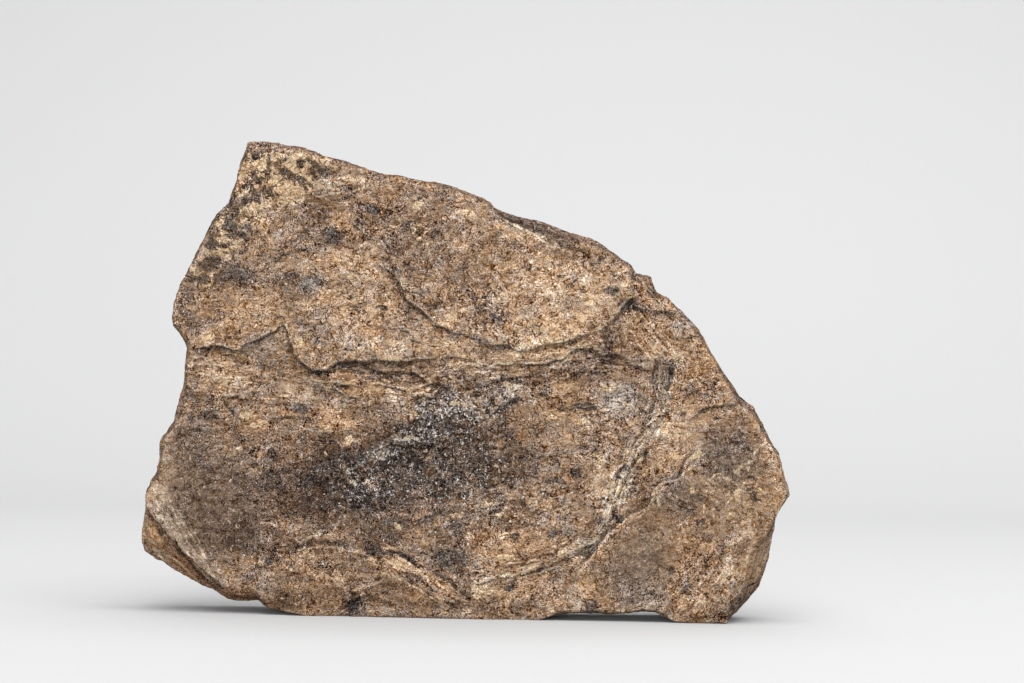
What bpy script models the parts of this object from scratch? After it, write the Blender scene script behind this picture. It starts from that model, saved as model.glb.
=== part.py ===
"""A rough split slab of thin-bedded sandstone that stands on its long lower edge, as one solid.

Row frame: +X along the base to the right, +Y to the back of the slab, +Z up. The origin is on the
ground, under the middle of the slab's box. Sizes below are millimetres until in_metres is called.
"""

import math

import bmesh
import bpy
from mathutils import Vector, noise

MM = 0.001

# Driving dimensions.
LENGTH = 360.0  # between the left and the right tip
HEIGHT = 260.0  # from the ground to the top left corner
THICKNESS = 45.0  # between the middle of the front and of the back at the base
THINNER_AT_TOP = 9.0  # what the back loses up to the top corner, over three bedding steps
NET = 8.0  # spacing of the planes that cut the faces into a net
EDGE_WEAR = 2.5  # how far the worn rim of a face lies inside the outline
GROUND_BAND = 1.3  # outline points this low lie on the ground and keep a square edge

# The outline as seen from the front, clockwise from the left end of the long base.
OUTLINE = (
    # lower left: the base runs out into a chipped edge that rises to the left tip
    (-85, 0), (-107.5, 1.5), (-115, 6.5), (-124.5, 5), (-132, 6), (-140, 11), (-146, 12.5),
    (-158, 20), (-168.5, 26), (-172, 27), (-179, 32), (-181, 38),
    # left side: up to a notch, out to a bump, then a long slant to the top corner
    (-179.5, 52), (-178, 65), (-175, 72), (-171.5, 77), (-169.7, 95), (-163, 105),
    (-158.5, 125), (-157.5, 145), (-161.7, 153), (-165.7, 158), (-166, 162), (-164.3, 170),
    (-161, 180), (-153, 195), (-147, 209.5), (-142, 219), (-136, 226), (-130, 240),
    (-127, 253), (-125, 259),
    # top: nearly straight, falling slowly to the right
    (-120, 260), (-108.5, 259.4), (-95, 257), (-81, 252.8), (-50, 243.8), (-20, 239.4),
    (-5.5, 235.3), (6, 231), (9.5, 229.6), (12.5, 226), (22.5, 222.3), (34.5, 220),
    (65.5, 210.3), (77, 203.3), (88, 196), (91, 191.6), (99, 190), (102.5, 181.5),
    # right side: a long convex fall to the right tip
    (109.5, 178), (125, 162.3), (136.5, 144), (150, 124.6), (158, 118), (171, 94),
    (177, 78), (179, 70.6),
    # right tip: undercut, down to the right foot
    (173.5, 63.3), (170.6, 57.5), (170.2, 50.4), (168, 35.7), (163, 20), (157, 11.8),
    (151.3, 4.3), (144, 0),
    # underside: the right foot, a shallow gap over the ground, and the long base
    (130, 0), (115, 0.8), (105, 4), (97.5, 4.2), (86.5, 3), (54, 2.8), (40, 0), (0, 0),
    (-42, 0),
)

# Rings of the wall from the front face to the back face: place through the thickness, from
# -1 at the front to 1 at the back, and the share of the edge wear and of the chips there.
RINGS = (
    (-1.0, 1.0, 1.0),
    (-0.72, 0.35, 0.62),
    (-0.4, 0.5, 0.34),
    (-0.08, 0.0, 0.0),
    (0.3, 0.6, 0.0),
    (0.62, 0.1, 0.0),
    (1.0, 1.6, 0.0),
)

# Chips knocked off the front rim: middle (x, z), reach along the rim, and depth into the face.
CHIPS = (
    ((-160, 26), 32, 14),  # layered slope at the lower left
    ((-126, 6), 16, 9),  # its end beside the base
    ((-177, 52), 16, 5),
    ((-160, 150), 22, 4),
    ((40, 216), 38, 6),  # dark band along the top right rim
    ((98, 186), 14, 6),
    ((150, 120), 20, 4),
    ((163, 32), 20, 13),  # smooth facet at the lower right
    ((152, 8), 10, 9),
)

# Swells and hollows of the front: middle (x, z), half widths, and rise towards the viewer.
FRONT_SWELLS = (
    ((25, 180), (75, 38), 3.0),  # lens-shaped sheet at the upper right
    ((-60, 178), (70, 34), 1.6),  # sheet at the upper left
    ((12, 82), (58, 30), -5.0),  # hollow in the middle
    ((-45, 20), (55, 16), 3.0),  # smooth lens at the bottom
    ((118, 48), (55, 40), 2.6),  # plate at the lower right
    ((-120, 120), (40, 26), 1.2),
    ((-110, 52), (46, 30), 0.8),
)

# Steps of the back, where a bed has split away above a line: point on it, slope, and share of
# the loss.
BACK_STEPS = (
    ((0, 92), -0.22, 0.3),
    ((0, 158), 0.16, 0.35),
    ((0, 214), -0.3, 0.35),
)
STEP_RAMP = 9.0  # over which a step of the back falls
UNDULATION = 1.4  # rise and fall of the slow waves over both faces
WAVE = 62.0  # their length


def smooth_share(value):
    """0 below 0, 1 above 1, and a smooth rise between them."""
    t = min(max(value, 0.0), 1.0)
    return t * t * (3 - 2 * t)


def chip_depth(point):
    """How far the front rim is knocked back at this point of the outline."""
    depths = [0.0]
    for (x, z), reach, depth in CHIPS:
        away = math.hypot(point[0] - x, point[1] - z)
        depths.append(depth * (1 - smooth_share(away / reach - 0.35)))
    return max(depths)


def inward(index):
    """Unit vector from an outline point into the slab, averaged over its neighbours."""
    total = Vector((0.0, 0.0))
    count = len(OUTLINE)
    for step in (-2, -1, 0, 1):
        a = Vector(OUTLINE[(index + step) % count])
        b = Vector(OUTLINE[(index + step + 1) % count])
        along = (b - a).normalized()
        total += Vector((along.y, -along.x))
    return total.normalized()


def ring_point(index, place, wear_share, chip_share):
    """The outline point moved inwards by the wear, roughness and chips of its ring."""
    x, z = OUTLINE[index]
    if z < GROUND_BAND:
        return Vector((x, place * THICKNESS / 2, z))
    rough = 0.5 + noise.noise(Vector((x / 17, place * 2.1, z / 17)))
    wear = wear_share * EDGE_WEAR * (0.5 + max(rough, 0.0))
    move = inward(index) * max(wear, chip_share * chip_depth((x, z)))
    return Vector((x + move.x, place * THICKNESS / 2, max(z + move.y, 0.0)))


def slab_body():
    """The outline's face, extruded ring by ring through the thickness."""
    mesh = bmesh.new()
    places = range(len(OUTLINE))
    front = [mesh.verts.new(ring_point(i, *RINGS[0])) for i in places]
    face = mesh.faces.new(front)
    for ring in RINGS[1:]:
        made = bmesh.ops.extrude_face_region(mesh, geom=[face])["geom"]
        bmesh.ops.delete(mesh, geom=[face], context="FACES_ONLY")
        face = next(part for part in made if isinstance(part, bmesh.types.BMFace))
        corners = {tuple(vert.co): vert for vert in face.verts}
        for i in places:
            vert = corners[tuple(front[i].co)]
            vert.co = ring_point(i, *ring)
            front[i] = vert
    return mesh


def close_front(mesh):
    """Fills the open front rim and turns every face outwards."""
    rim = [edge for edge in mesh.edges if edge.is_boundary]
    bmesh.ops.holes_fill(mesh, edges=rim, sides=0)
    bmesh.ops.recalc_face_normals(mesh, faces=mesh.faces[:])


def cut_net(mesh):
    """Slices the slab by upright and level planes, so that its faces can bend."""
    for axis, low, high in ((Vector((1, 0, 0)), -180, 180), (Vector((0, 0, 1)), 0, 260)):
        for step in range(1, int((high - low) / NET)):
            bmesh.ops.bisect_plane(
                mesh,
                geom=mesh.verts[:] + mesh.edges[:] + mesh.faces[:],
                dist=0.25,
                plane_co=axis * (low + step * NET + 1.1),
                plane_no=axis,
            )


def front_rise(x, z):
    """Rise of the front towards the viewer."""
    rise = UNDULATION * noise.noise(Vector((x / WAVE, 3.7, z / WAVE)))
    for (mid_x, mid_z), (half_x, half_z), height in FRONT_SWELLS:
        away = ((x - mid_x) / half_x) ** 2 + ((z - mid_z) / half_z) ** 2
        rise += height * math.exp(-away)
    return rise


def back_rise(x, z):
    """Rise of the back away from the viewer, lower above each step."""
    rise = UNDULATION * noise.noise(Vector((x / WAVE, 11.3, z / WAVE)))
    for (at_x, at_z), slope, loss in BACK_STEPS:
        ragged = 7 * noise.noise(Vector((x / 30, at_z, z / 30)))
        above = z + ragged - at_z - slope * (x - at_x)
        rise -= loss * THINNER_AT_TOP * smooth_share(0.5 + above / STEP_RAMP)
    return rise


def bend_faces(mesh):
    """Moves the front and back by their rise. The wall between them follows in proportion."""
    for vert in mesh.verts:
        x, y, z = vert.co
        share = y / (THICKNESS / 2)
        if share < 0:
            vert.co.y = y + share * front_rise(x, z)
        else:
            vert.co.y = y + share * back_rise(x, z)


def in_metres(mesh):
    """Scales to metres and puts the origin on the ground under the middle of the box."""
    low, high = (
        Vector([pick(vert.co[axis] for vert in mesh.verts) for axis in range(3)])
        for pick in (min, max)
    )
    middle = (low + high) / 2
    size = Vector((LENGTH / (high.x - low.x), 1.0, HEIGHT / (high.z - low.z)))
    for vert in mesh.verts:
        vert.co.x = (vert.co.x - middle.x) * size.x * MM
        vert.co.y = (vert.co.y - middle.y) * size.y * MM
        vert.co.z = (vert.co.z - low.z) * size.z * MM


def sandstone():
    """Dull brown sandstone: no metal, very rough."""
    material = bpy.data.materials.new("sandstone")
    material.use_nodes = True
    shader = material.node_tree.nodes["Principled BSDF"]
    shader.inputs["Base Color"].default_value = (0.205, 0.136, 0.082, 1)
    shader.inputs["Metallic"].default_value = 0.0
    shader.inputs["Roughness"].default_value = 0.9
    return material


def main():
    for thing in list(bpy.data.objects):
        bpy.data.objects.remove(thing)
    mesh = slab_body()
    close_front(mesh)
    cut_net(mesh)
    bmesh.ops.triangulate(mesh, faces=mesh.faces[:])
    bend_faces(mesh)
    in_metres(mesh)
    bmesh.ops.recalc_face_normals(mesh, faces=mesh.faces[:])
    data = bpy.data.meshes.new("stone_slab")
    mesh.to_mesh(data)
    mesh.free()
    data.materials.append(sandstone())
    bpy.context.scene.collection.objects.link(bpy.data.objects.new("stone_slab", data))


main()
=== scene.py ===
# %% [markdown]
# # A split slab of sandstone
#
# This lesson dresses one solid: a rough slab of thin-bedded brown sandstone that stands on its long
# lower edge. The stone was split along its bedding, so its faces are broad, with low ledges where a
# sheet has come away, and its rim shows the beds edge-on.
#
# The solid is loaded first. It is the fixed frame: nothing here moves or resizes it. The visible
# stone is a finer skin, made from a copy, that stands in its place.

# %% Load the solid
import math

import bmesh
import bpy
import numpy as np
from mathutils import Matrix, Vector, noise


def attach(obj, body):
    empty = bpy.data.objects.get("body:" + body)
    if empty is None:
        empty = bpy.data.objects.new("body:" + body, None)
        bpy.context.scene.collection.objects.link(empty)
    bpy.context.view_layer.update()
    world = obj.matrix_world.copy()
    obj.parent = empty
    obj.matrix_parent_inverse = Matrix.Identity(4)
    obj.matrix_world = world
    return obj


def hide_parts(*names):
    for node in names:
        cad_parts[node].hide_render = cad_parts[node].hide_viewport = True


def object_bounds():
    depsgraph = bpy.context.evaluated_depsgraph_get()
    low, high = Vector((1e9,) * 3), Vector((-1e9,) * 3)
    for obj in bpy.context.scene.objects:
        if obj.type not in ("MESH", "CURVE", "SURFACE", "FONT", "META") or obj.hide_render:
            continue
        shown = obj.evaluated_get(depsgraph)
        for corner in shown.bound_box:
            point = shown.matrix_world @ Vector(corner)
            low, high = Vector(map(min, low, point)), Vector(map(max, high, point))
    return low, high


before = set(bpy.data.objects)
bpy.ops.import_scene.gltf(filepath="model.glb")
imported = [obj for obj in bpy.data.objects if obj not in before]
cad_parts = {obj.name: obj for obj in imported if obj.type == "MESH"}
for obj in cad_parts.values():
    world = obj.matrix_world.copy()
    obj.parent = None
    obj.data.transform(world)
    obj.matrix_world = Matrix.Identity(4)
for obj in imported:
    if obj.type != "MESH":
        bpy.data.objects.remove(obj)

MM = 0.001
cad_low, cad_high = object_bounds()
print("solid, mm:", [round(side / MM, 1) for side in cad_high - cad_low])

# %% [markdown]
# ## The camera
#
# The slab is seen square on, by a level camera a little above its middle. A long lens from far off
# keeps the outline nearly free of perspective, and an orthographic camera would lose it all. The
# camera leans by one degree, so the ground line falls slightly to the right.

# %% Camera
LENS_MM = 85.0
SENSOR_MM = 36.0
STAND_OFF = 1343 * MM  # from the lens to the middle of the slab's thickness
AIM_X, AIM_Z = 24 * MM, 152.3 * MM
LEAN = math.radians(1.16)

camera_data = bpy.data.cameras.new("camera")
camera_data.lens = LENS_MM
camera_data.sensor_width = SENSOR_MM
camera = bpy.data.objects.new("camera", camera_data)
camera.matrix_world = (
    Matrix.Translation((AIM_X, -STAND_OFF, AIM_Z))
    @ Matrix.Rotation(math.pi / 2, 4, "X")
    @ Matrix.Rotation(LEAN, 4, "Z")
)
bpy.context.scene.collection.objects.link(camera)
bpy.context.scene.camera = camera
print("camera", STAND_OFF, "m in front of the slab")

# %% [markdown]
# ## The skin: a fine mesh to carve
#
# The solid is a net of large facets. Its copy is merged first, because the solid's own mesh is loose
# triangles. A voxel remesh then gives an even skin of small squares, fine enough to hold ledges a
# few tenths of a millimetre high. Subdivision would follow the facets' long triangles instead.

# %% Remesh a copy of the solid
SKIN_MM = 0.72  # side of the squares

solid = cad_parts["stone_slab"]
skin_mesh = bpy.data.meshes.new("sandstone_slab")
whole = bmesh.new()
whole.from_mesh(solid.data)
bmesh.ops.remove_doubles(whole, verts=whole.verts, dist=0.01 * MM)
whole.to_mesh(skin_mesh)
whole.free()

slab = bpy.data.objects.new("sandstone_slab", skin_mesh)
bpy.context.scene.collection.objects.link(slab)
remesh = slab.modifiers.new("even_skin", "REMESH")
remesh.mode = "VOXEL"
remesh.voxel_size = SKIN_MM * MM
bpy.context.view_layer.objects.active = slab
bpy.ops.object.modifier_apply(modifier="even_skin")
print("skin:", len(slab.data.vertices), "points")

# %% [markdown]
# ## Noise in real sizes
#
# Broken stone is rough at every scale. Random numbers at each point would be rough at one scale
# only, and fractal noise is rough at several. Each use says how large its biggest bumps are, in
# millimetres. The noise is a fixed function of place, so every run is alike.

# %% Noise
def cloud(points, size_mm, octaves=3, seed=0.0, stretch=(1, 1, 1)):
    """Fractal noise, about -1 to 1, whose largest bumps are size_mm across."""
    scaled = points / (size_mm * MM) * np.array(stretch) + seed
    return np.array([noise.fractal(Vector(place), 0.9, 2.1, octaves) for place in scaled])


def smooth(share):
    """0 to 1 with soft ends."""
    share = np.clip(share, 0, 1)
    return share * share * (3 - 2 * share)


RISER_SHARE = 0.18  # of a bed's run, where its tread ends and the riser climbs to the next


def terraces(level):
    """Flat treads and short risers, as split bedding leaves them, from a level that runs evenly."""
    return np.floor(level) + smooth((level % 1 - (1 - RISER_SHARE)) / RISER_SHARE)


def rough_noise(points, layers):
    """The sum of several sizes of noise. Each layer is an amount, then what cloud needs."""
    return sum(amount * cloud(points, *settings) for amount, *settings in layers)


# %% [markdown]
# ## A sketch of the face
#
# Ledges, cracks and stains have places on the front face, in millimetres: x to the right and z up
# from the ground. Each list is drawn as a geologist would sketch the face. The sketch's zero lies
# a millimetre beside the frame's.
#
# A line is a few points joined by a smooth curve. Everything that follows a line needs the same
# facts: how far a point of the skin is to the left of the line, and how far along it.

# %% Reading the sketch
SKETCH_ZERO_X = 1.0  # mm, in the frame
AT_ONCE = 20000  # points measured at once, to spare memory


def on_sketch(points):
    """Where points in metres fall on the sketch, in millimetres."""
    return points[:, (0, 2)] / MM - (SKETCH_ZERO_X, 0.0)


def drawn(corners, step=1.5):
    """A smooth line through the given corners, as points about step millimetres apart."""
    ends = np.array([corners[0], *corners, corners[-1]], float)
    pieces = []
    for before, start, end, after in zip(ends, ends[1:], ends[2:], ends[3:]):
        count = max(2, int(np.hypot(*(end - start)) / step))
        share = np.linspace(0, 1, count, endpoint=False)[:, None]
        bend = 2 * before - 5 * start + 4 * end - after
        swing = 3 * start - before - 3 * end + after
        pieces.append(start + ((end - before) * share + bend * share**2 + swing * share**3) / 2)
    return np.vstack([*pieces, ends[-1:]])


def beside(places, line, reach):
    """Which places are within reach of a line, how far each is to its left, and its share of the way."""
    low, high = line.min(axis=0) - reach, line.max(axis=0) + reach
    near = np.flatnonzero(((places > low) & (places < high)).all(axis=1))
    starts, runs = line[:-1], np.diff(line, axis=0)
    left, along = np.empty(len(near)), np.empty(len(near))
    for first in range(0, len(near), AT_ONCE):
        some = slice(first, first + AT_ONCE)
        away = places[near[some], None] - starts
        share = np.clip((away * runs).sum(axis=2) / (runs**2).sum(axis=1), 0, 1)
        away -= share[..., None] * runs
        gaps = np.hypot(away[..., 0], away[..., 1])
        best = gaps.argmin(axis=1)
        row = np.arange(len(best))
        turn = runs[best, 0] * away[row, best, 1] - runs[best, 1] * away[row, best, 0]
        left[some] = np.where(turn < 0, -1, 1) * gaps[row, best]
        along[some] = (best + share[row, best]) / len(runs)
    return near, left, along


def fade_at_ends(along, share):
    """0 at both ends of a line and 1 between, with a slope over this share of it."""
    return smooth(np.minimum(along, 1 - along) / share)


def wavering(points):
    """Places on the sketch, each moved up to a millimetre, so that drawn lines waver like torn ones."""
    moves = np.array([cloud(points, 6, 3, seed) for seed in (3.3, 8.8)]).T
    return on_sketch(points) + 0.9 * moves


print("sketch zero at x =", SKETCH_ZERO_X, "mm")

# %% [markdown]
# ## Ledges on the front
#
# A ledge is the broken edge of a sheet. Sheets could be cut out and laid on top, but a real one
# grows out of the stone and thins away, so each ledge is a step raised in the skin. Its line is
# walked with the raised sheet on the left hand. Each has a drop, the width of the slope under its
# lip, and the length over which the raised sheet thins out behind the lip.

# %% The ledges
LEDGES = (
    # the lens-shaped sheet at the upper right: its lip, from the top left round to the right end
    (((-69, 222), (-63, 213), (-56, 208), (-47.5, 199.5)), 0.8, 0.8, 14),
    (((-50, 197), (-49.3, 192.8), (-45, 190.5), (-42, 188), (-39, 184), (-36.5, 180), (-35, 174.5),
      (-31, 172), (-26, 168), (-21, 163.5), (-15, 159.5), (-8, 157), (0, 154.8), (5, 153.3),
      (9, 149.8), (13, 149.4)), 2.2, 0.8, 22),
    (((7, 151.6), (15, 150.4), (21, 151), (25, 148.4), (30, 147.6), (36, 149.3), (41, 151.6),
      (47, 152.4), (53, 153.4), (58, 156), (64, 157), (69, 158)), 2.4, 1.4, 22),
    (((69, 157.3), (72, 160.5), (77, 165), (81, 170), (84, 173.5), (88, 177), (91, 180)),
     1.5, 1.0, 18),
    # the sheet at the upper left: a notch, a hook, and a deep overhang to the middle
    (((-153, 144.5), (-147, 145.8), (-141, 147), (-136, 146.8), (-131, 145.4), (-127, 144.8),
      (-122.5, 147.5), (-114, 151.8), (-108, 155.2), (-103, 158.4), (-101, 158), (-98.6, 153),
      (-97, 147), (-95, 142), (-92, 139.4)), 1.5, 0.8, 14),
    (((-98.3, 152), (-96.5, 146), (-94.5, 142), (-91, 138.6), (-87.5, 136.2), (-83.5, 135),
      (-79.5, 135), (-76, 137), (-72.5, 139.6), (-66, 140.2), (-60, 140.4), (-55, 140.4),
      (-50, 139.6)), 2.2, 1.5, 26),
    (((-57, 142), (-50, 141.2), (-44, 140.8), (-36, 140.6), (-30, 141.6), (-22, 142), (-15, 142.8),
      (-8, 143.4), (0, 142.2), (6, 140.5)), 1.1, 1.1, 22),
    (((-58, 138), (-50, 135.6), (-44, 134.8), (-38, 135), (-33, 135.3), (-29, 133.8), (-25, 131),
      (-21, 128.6), (-15, 127.4)), 1.2, 1.1, 16),
    (((10, 137.5), (16, 139.7), (24, 140.3), (34, 140.3), (42, 141), (48, 142.3), (53, 145),
      (58, 149.5), (66, 149), (73, 148)), 1.3, 0.9, 14),
    # thin beds below the overhang
    (((-89, 130.4), (-85, 128.4), (-79, 127.6), (-72, 127.6), (-66, 126.8), (-60, 125.8)), 0.9, 0.7, 8),
    (((-85.5, 120), (-85, 126), (-80, 125), (-75, 124.6), (-71, 123), (-67, 120.6), (-58, 120.4)),
     1.1, 0.8, 8),
    (((-55, 127.4), (-48, 127), (-41, 126.2), (-36, 124.4), (-31, 121.8), (-18, 121)), 1.1, 0.8, 9),
    (((-15, 136), (-12, 133.5), (-9, 131)), 1.0, 0.9, 8),
    (((60, 117), (64, 116.6), (68, 117.8), (71, 119.5)), 1.4, 0.9, 8),
    (((72, 119), (71.5, 114), (73, 108)), 0.8, 0.8, 8),
    # left margin
    (((-136, 142), (-131, 142.6), (-126, 140)), 0.8, 0.8, 7),
    (((-134, 117.5), (-128, 120), (-122, 121.8), (-113, 123)), 1.0, 0.9, 10),
    (((-147, 110.3), (-141, 112), (-134, 111.4)), 0.9, 0.8, 7),
    (((-109, 108), (-101, 109), (-94, 109.3), (-85, 108.4)), 0.9, 1.0, 8),
    (((-113, 192.5), (-108, 195), (-102, 197.5), (-95, 200.5), (-88, 201)), 0.7, 1.0, 9),
    # the dark hollow: rims of the plates in it
    (((-52, 90), (-48.5, 91.8), (-45, 93.9), (-40, 94.3), (-34, 94.9), (-28, 96.2), (-21, 96.2)),
     1.3, 0.9, 10),
    (((-81, 91.5), (-77, 94.5), (-74.2, 96.8), (-71.5, 94.8), (-68, 91)), 1.2, 0.9, 8),
    (((11, 112), (16, 115), (22, 120), (27, 122.5), (31, 122.5)), 1.4, 1.4, 9),
    (((-30, 51), (-26, 52.2), (-22, 54), (-17, 56.5)), 1.2, 0.9, 8),
    (((82, 102), (85.5, 101.5), (88.5, 103), (89, 105)), 0.8, 0.8, 5),
    # right: the beds beside the rib
    (((71, 146), (76, 146.6), (83, 146.4)), 0.9, 0.8, 7),
    (((84, 143.5), (88, 142), (93, 140.2), (97, 138.6), (102, 136.5)), 0.9, 0.9, 9),
    (((88, 173), (93, 172.6), (98, 171.6), (104, 171), (113, 170.3)), 1.1, 1.2, 10),
    (((110, 157), (117, 156.2), (125, 158)), 1.0, 0.9, 9),
    (((120, 111.5), (124, 114.5), (127, 117.2), (131, 119.5), (138, 120), (147, 121.2)),
     1.1, 1.0, 10),
    # the smooth plate at the lower right, which stands proud with a pale upper rim
    (((131, 97.5), (126, 94.5), (122, 91.3), (119, 88.5), (118, 84), (116, 80), (112, 78.2),
      (107, 77), (103, 74), (101, 70), (100.5, 66), (98, 62.5), (93, 60.3), (88, 57.5),
      (82, 52), (76, 46), (70, 38), (64, 30), (60, 22)), 1.4, 1.1, 30),
    # bottom: the smooth lens with a dark groove over it, and splinters in the middle
    (((2, 11), (-5, 16.5), (-12, 22), (-20, 25.3), (-28, 30)), 1.6, 1.0, 12),
    (((-28, 29.5), (-33, 32), (-38, 34.3), (-46, 34.5)), 1.2, 1.0, 12),
    (((-62, 37.6), (-70, 38.2), (-78, 38.6), (-86, 37.8), (-94, 35)), 0.9, 1.6, 18),
    (((5, 19.5), (13, 21), (20, 24.3)), 1.2, 0.9, 6),
)


def ledge_height(left, along, drop, slope, reach):
    """Height beside a ledge's line: a slow rise behind the lip, a steep edge, a gap at its foot."""
    behind = np.clip(1 - np.maximum(left, 0) / (2 * reach), 0, 1) ** 2
    edge = smooth(1 + left / slope)
    gap = np.exp(-(((left + slope + 0.3) / 0.7) ** 2))
    return fade_at_ends(along, 0.12) * drop * (edge * behind - 0.22 * gap)


PLATE_RIM = next(line for line, _, _, _ in LEDGES if line[0] == (131, 97.5))
print(len(LEDGES), "ledges")

# %% [markdown]
# ## Rib, grooves and pits
#
# A raised vein crosses the right of the face like a rib: harder than the stone, it was left standing
# when the sheet over it split off, with a groove on each side. Other grooves are old cracks. The
# pits are where soft clay grains fell out. All are carved as smooth bell curves beside a line or
# round a point, because the noise that comes after roughens them as it does the rest.

# %% The rib, the grooves and the pits
RIB = ((107, 146), (106, 140), (105, 134), (104.5, 128), (106, 122), (105, 118), (103, 113),
       (100, 108), (98, 103), (95, 99), (92, 94), (90, 90), (88, 86), (85, 81), (83, 76), (81, 70),
       (79, 64), (77, 58), (74, 52), (70, 46), (65, 42.5), (58, 39), (52, 36), (48, 33), (42, 31),
       (33, 27.5), (26, 26), (20, 24), (13, 20.5), (5, 18.5))
RIB_HEIGHT, RIB_HALF = 0.55, 1.3  # mm

GROOVES = (  # points, depth, half width
    (((-94, 36.5), (-85, 40), (-78, 41), (-65, 40)), 0.7, 1.4),
    (((-45, 33), (-40, 35.5), (-36, 34.5), (-32, 31.5), (-28, 29.5), (-24, 27), (-20, 24)), 0.9, 1.0),
    (((-38, 157), (-33, 156), (-29, 150.8), (-25, 149.5)), 0.5, 0.5),
    (((6, 172), (9, 173), (11, 174.2)), 0.9, 0.6),
    (((11, 168.5), (13, 166), (16.5, 163.5)), 0.9, 0.6),
    (((14, 155), (16, 154)), 0.5, 0.5),
    (((-113.5, 35), (-114.5, 28), (-114, 18)), 0.5, 0.6),
    (((151, 18), (157, 20), (164, 22.5)), 1.0, 0.8),
    (((-62, 1), (-60, 6), (-56, 11)), 2.0, 2.2),
    (((-66, 3), (-63, 8), (-60, 14)), 1.0, 1.0),
    (((21, 78), (24, 77.5)), 0.7, 0.6),
    (((99, 93.5), (97.3, 91), (97.6, 87.5)), 1.3, 0.8),
    (((90, 130), (95, 128), (99, 124)), 0.7, 1.0),
    (((110, 145), (111, 139), (110, 133), (107.5, 127)), 1.6, 1.6),
    (((103, 144), (101.5, 138), (100.5, 131)), 1.2, 1.4),
    (((-60, 68), (-57, 66), (-53, 62)), 1.0, 0.8),
)

PITS = (  # x, z, radius, depth
    (84, 174, 2.6, 2.2), (86, 84, 1.6, 2.0), (83, 79.5, 1.5, 1.8), (97.3, 93, 1.2, 1.4),
    (81, 61, 1.8, 1.8), (82, 57, 1.4, 1.6), (64, 40, 3.6, 1.8), (26, 18, 2.0, 1.6),
    (110, 137, 2.2, 1.8), (5, 171, 1.3, 1.0), (8, 161, 1.4, 1.0), (17, 161.5, 1.3, 0.9),
    (-66, 85, 1.8, 1.2), (-59, 88, 1.6, 1.2), (-57, 85.5, 1.5, 1.2), (-62, 82, 1.6, 1.2),
    (-53, 80, 1.4, 1.0), (-61, 74, 1.6, 1.2), (-57, 70, 1.6, 1.2), (-52, 66, 1.5, 1.2),
    (-56, 77, 1.4, 1.0), (-50, 71, 1.3, 1.0), (-129, 110, 1.3, 0.9), (95.5, 68, 5.5, 0.7),
    (92, 72, 4.0, 0.5), (-8, 33, 11, 1.0), (-83, 152.5, 1.0, 0.7), (-80, 148, 1.0, 0.7),
)


def rib_height(left, along):
    """A rounded crest with a groove down each side, fading out at both ends."""
    crest = np.exp(-((left / RIB_HALF) ** 2))
    sides = np.exp(-(((np.abs(left) - 2 * RIB_HALF) / 1.1) ** 2))
    return fade_at_ends(along, 0.08) * RIB_HEIGHT * (crest - 0.35 * sides)


print(len(GROOVES), "grooves and", len(PITS), "pits")

# %% [markdown]
# ## Fibrous bands
#
# In some bands the stone has broken into splinters, and thin beds show as streaks that follow a
# ledge or a vein. Single splinters could be modelled one by one, but there are hundreds. Each band
# is a line with a half width instead. A point in a band knows how far it is across the band and
# along it, so noise drawn out along the band makes streaks that bend with it.

# %% The fibrous bands
FIBROUS_BANDS = (  # points, half width, strength
    (RIB, 6.0, 1.0),
    (((-98, 138), (-84, 131), (-66, 130), (-48, 129), (-30, 126), (-10, 132), (10, 134),
      (30, 136.5), (48, 139), (66, 145), (84, 145), (100, 140)), 8.0, 0.8),
    (((-170, 66), (-161, 50), (-151, 33), (-141, 21), (-127, 14)), 8.0, 0.7),
    (((-181, 50), (-174, 36), (-160, 25), (-144, 13), (-124, 6), (-104, 4)), 5.5, 0.9),
    (((-68, 86), (-60, 76), (-53, 65), (-48, 55)), 8.0, 0.8),
    (((-64, 40), (-48, 35), (-36, 30), (-24, 24), (-10, 15), (5, 8)), 6.5, 0.9),
    (((-70, -3), (-62, 5), (-54, 12), (-42, 20)), 5.0, 0.9),
    (((-104, 225), (-88, 229), (-60, 235), (-38, 241)), 7.0, 0.6),
    (((130, 97), (119, 88), (112, 78), (103, 74), (98, 62), (82, 52), (70, 38)), 4.0, 0.6),
    (((-158, 128), (-130, 127), (-104, 129), (-84, 125)), 10.0, 0.6),
    (((-150, 108), (-125, 106), (-100, 108), (-80, 104)), 8.0, 0.5),
    (((82, 178), (92, 165), (100, 154), (110, 143)), 8.0, 0.7),
    (((56, 116), (66, 117), (72, 108), (80, 104), (90, 103)), 5.0, 0.7),
    (((14, 220), (30, 212), (50, 204), (72, 186)), 6.0, 0.5),
    (((112, 4), (124, 20), (136, 34), (142, 48)), 10.0, 0.5),
    (((-113, 190), (-98, 198), (-84, 203)), 7.0, 0.4),
)
BAND_REACH = 1.5  # half widths from the middle, where a band has faded to nothing


def each_fibrous_band(wavy):
    """Band by band: its points, how far across and along it each is in mm, and how fibrous."""
    for corners, half, strength in FIBROUS_BANDS:
        line = drawn(corners)
        near, left, along = beside(wavy, line, BAND_REACH * half)
        length = np.hypot(*np.diff(line, axis=0).T).sum()
        sides = smooth((BAND_REACH - np.abs(left) / half) * 1.4)
        yield near, left, along * length, strength * sides * fade_at_ends(along, 0.125)


print(len(FIBROUS_BANDS), "fibrous bands")

# %% [markdown]
# ## Where the face is rough and where it is smooth
#
# Some sheets split cleanly and others tore. Where each lies could be painted by hand, but a zone is
# quicker to place and to read: a soft-edged ellipse on the sketch. Its edge is ragged, because each
# point is looked up a few millimetres from its true place. These zones serve the carving here and
# the grain's look later, and stains are drawn as zones of the same kind.

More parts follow.
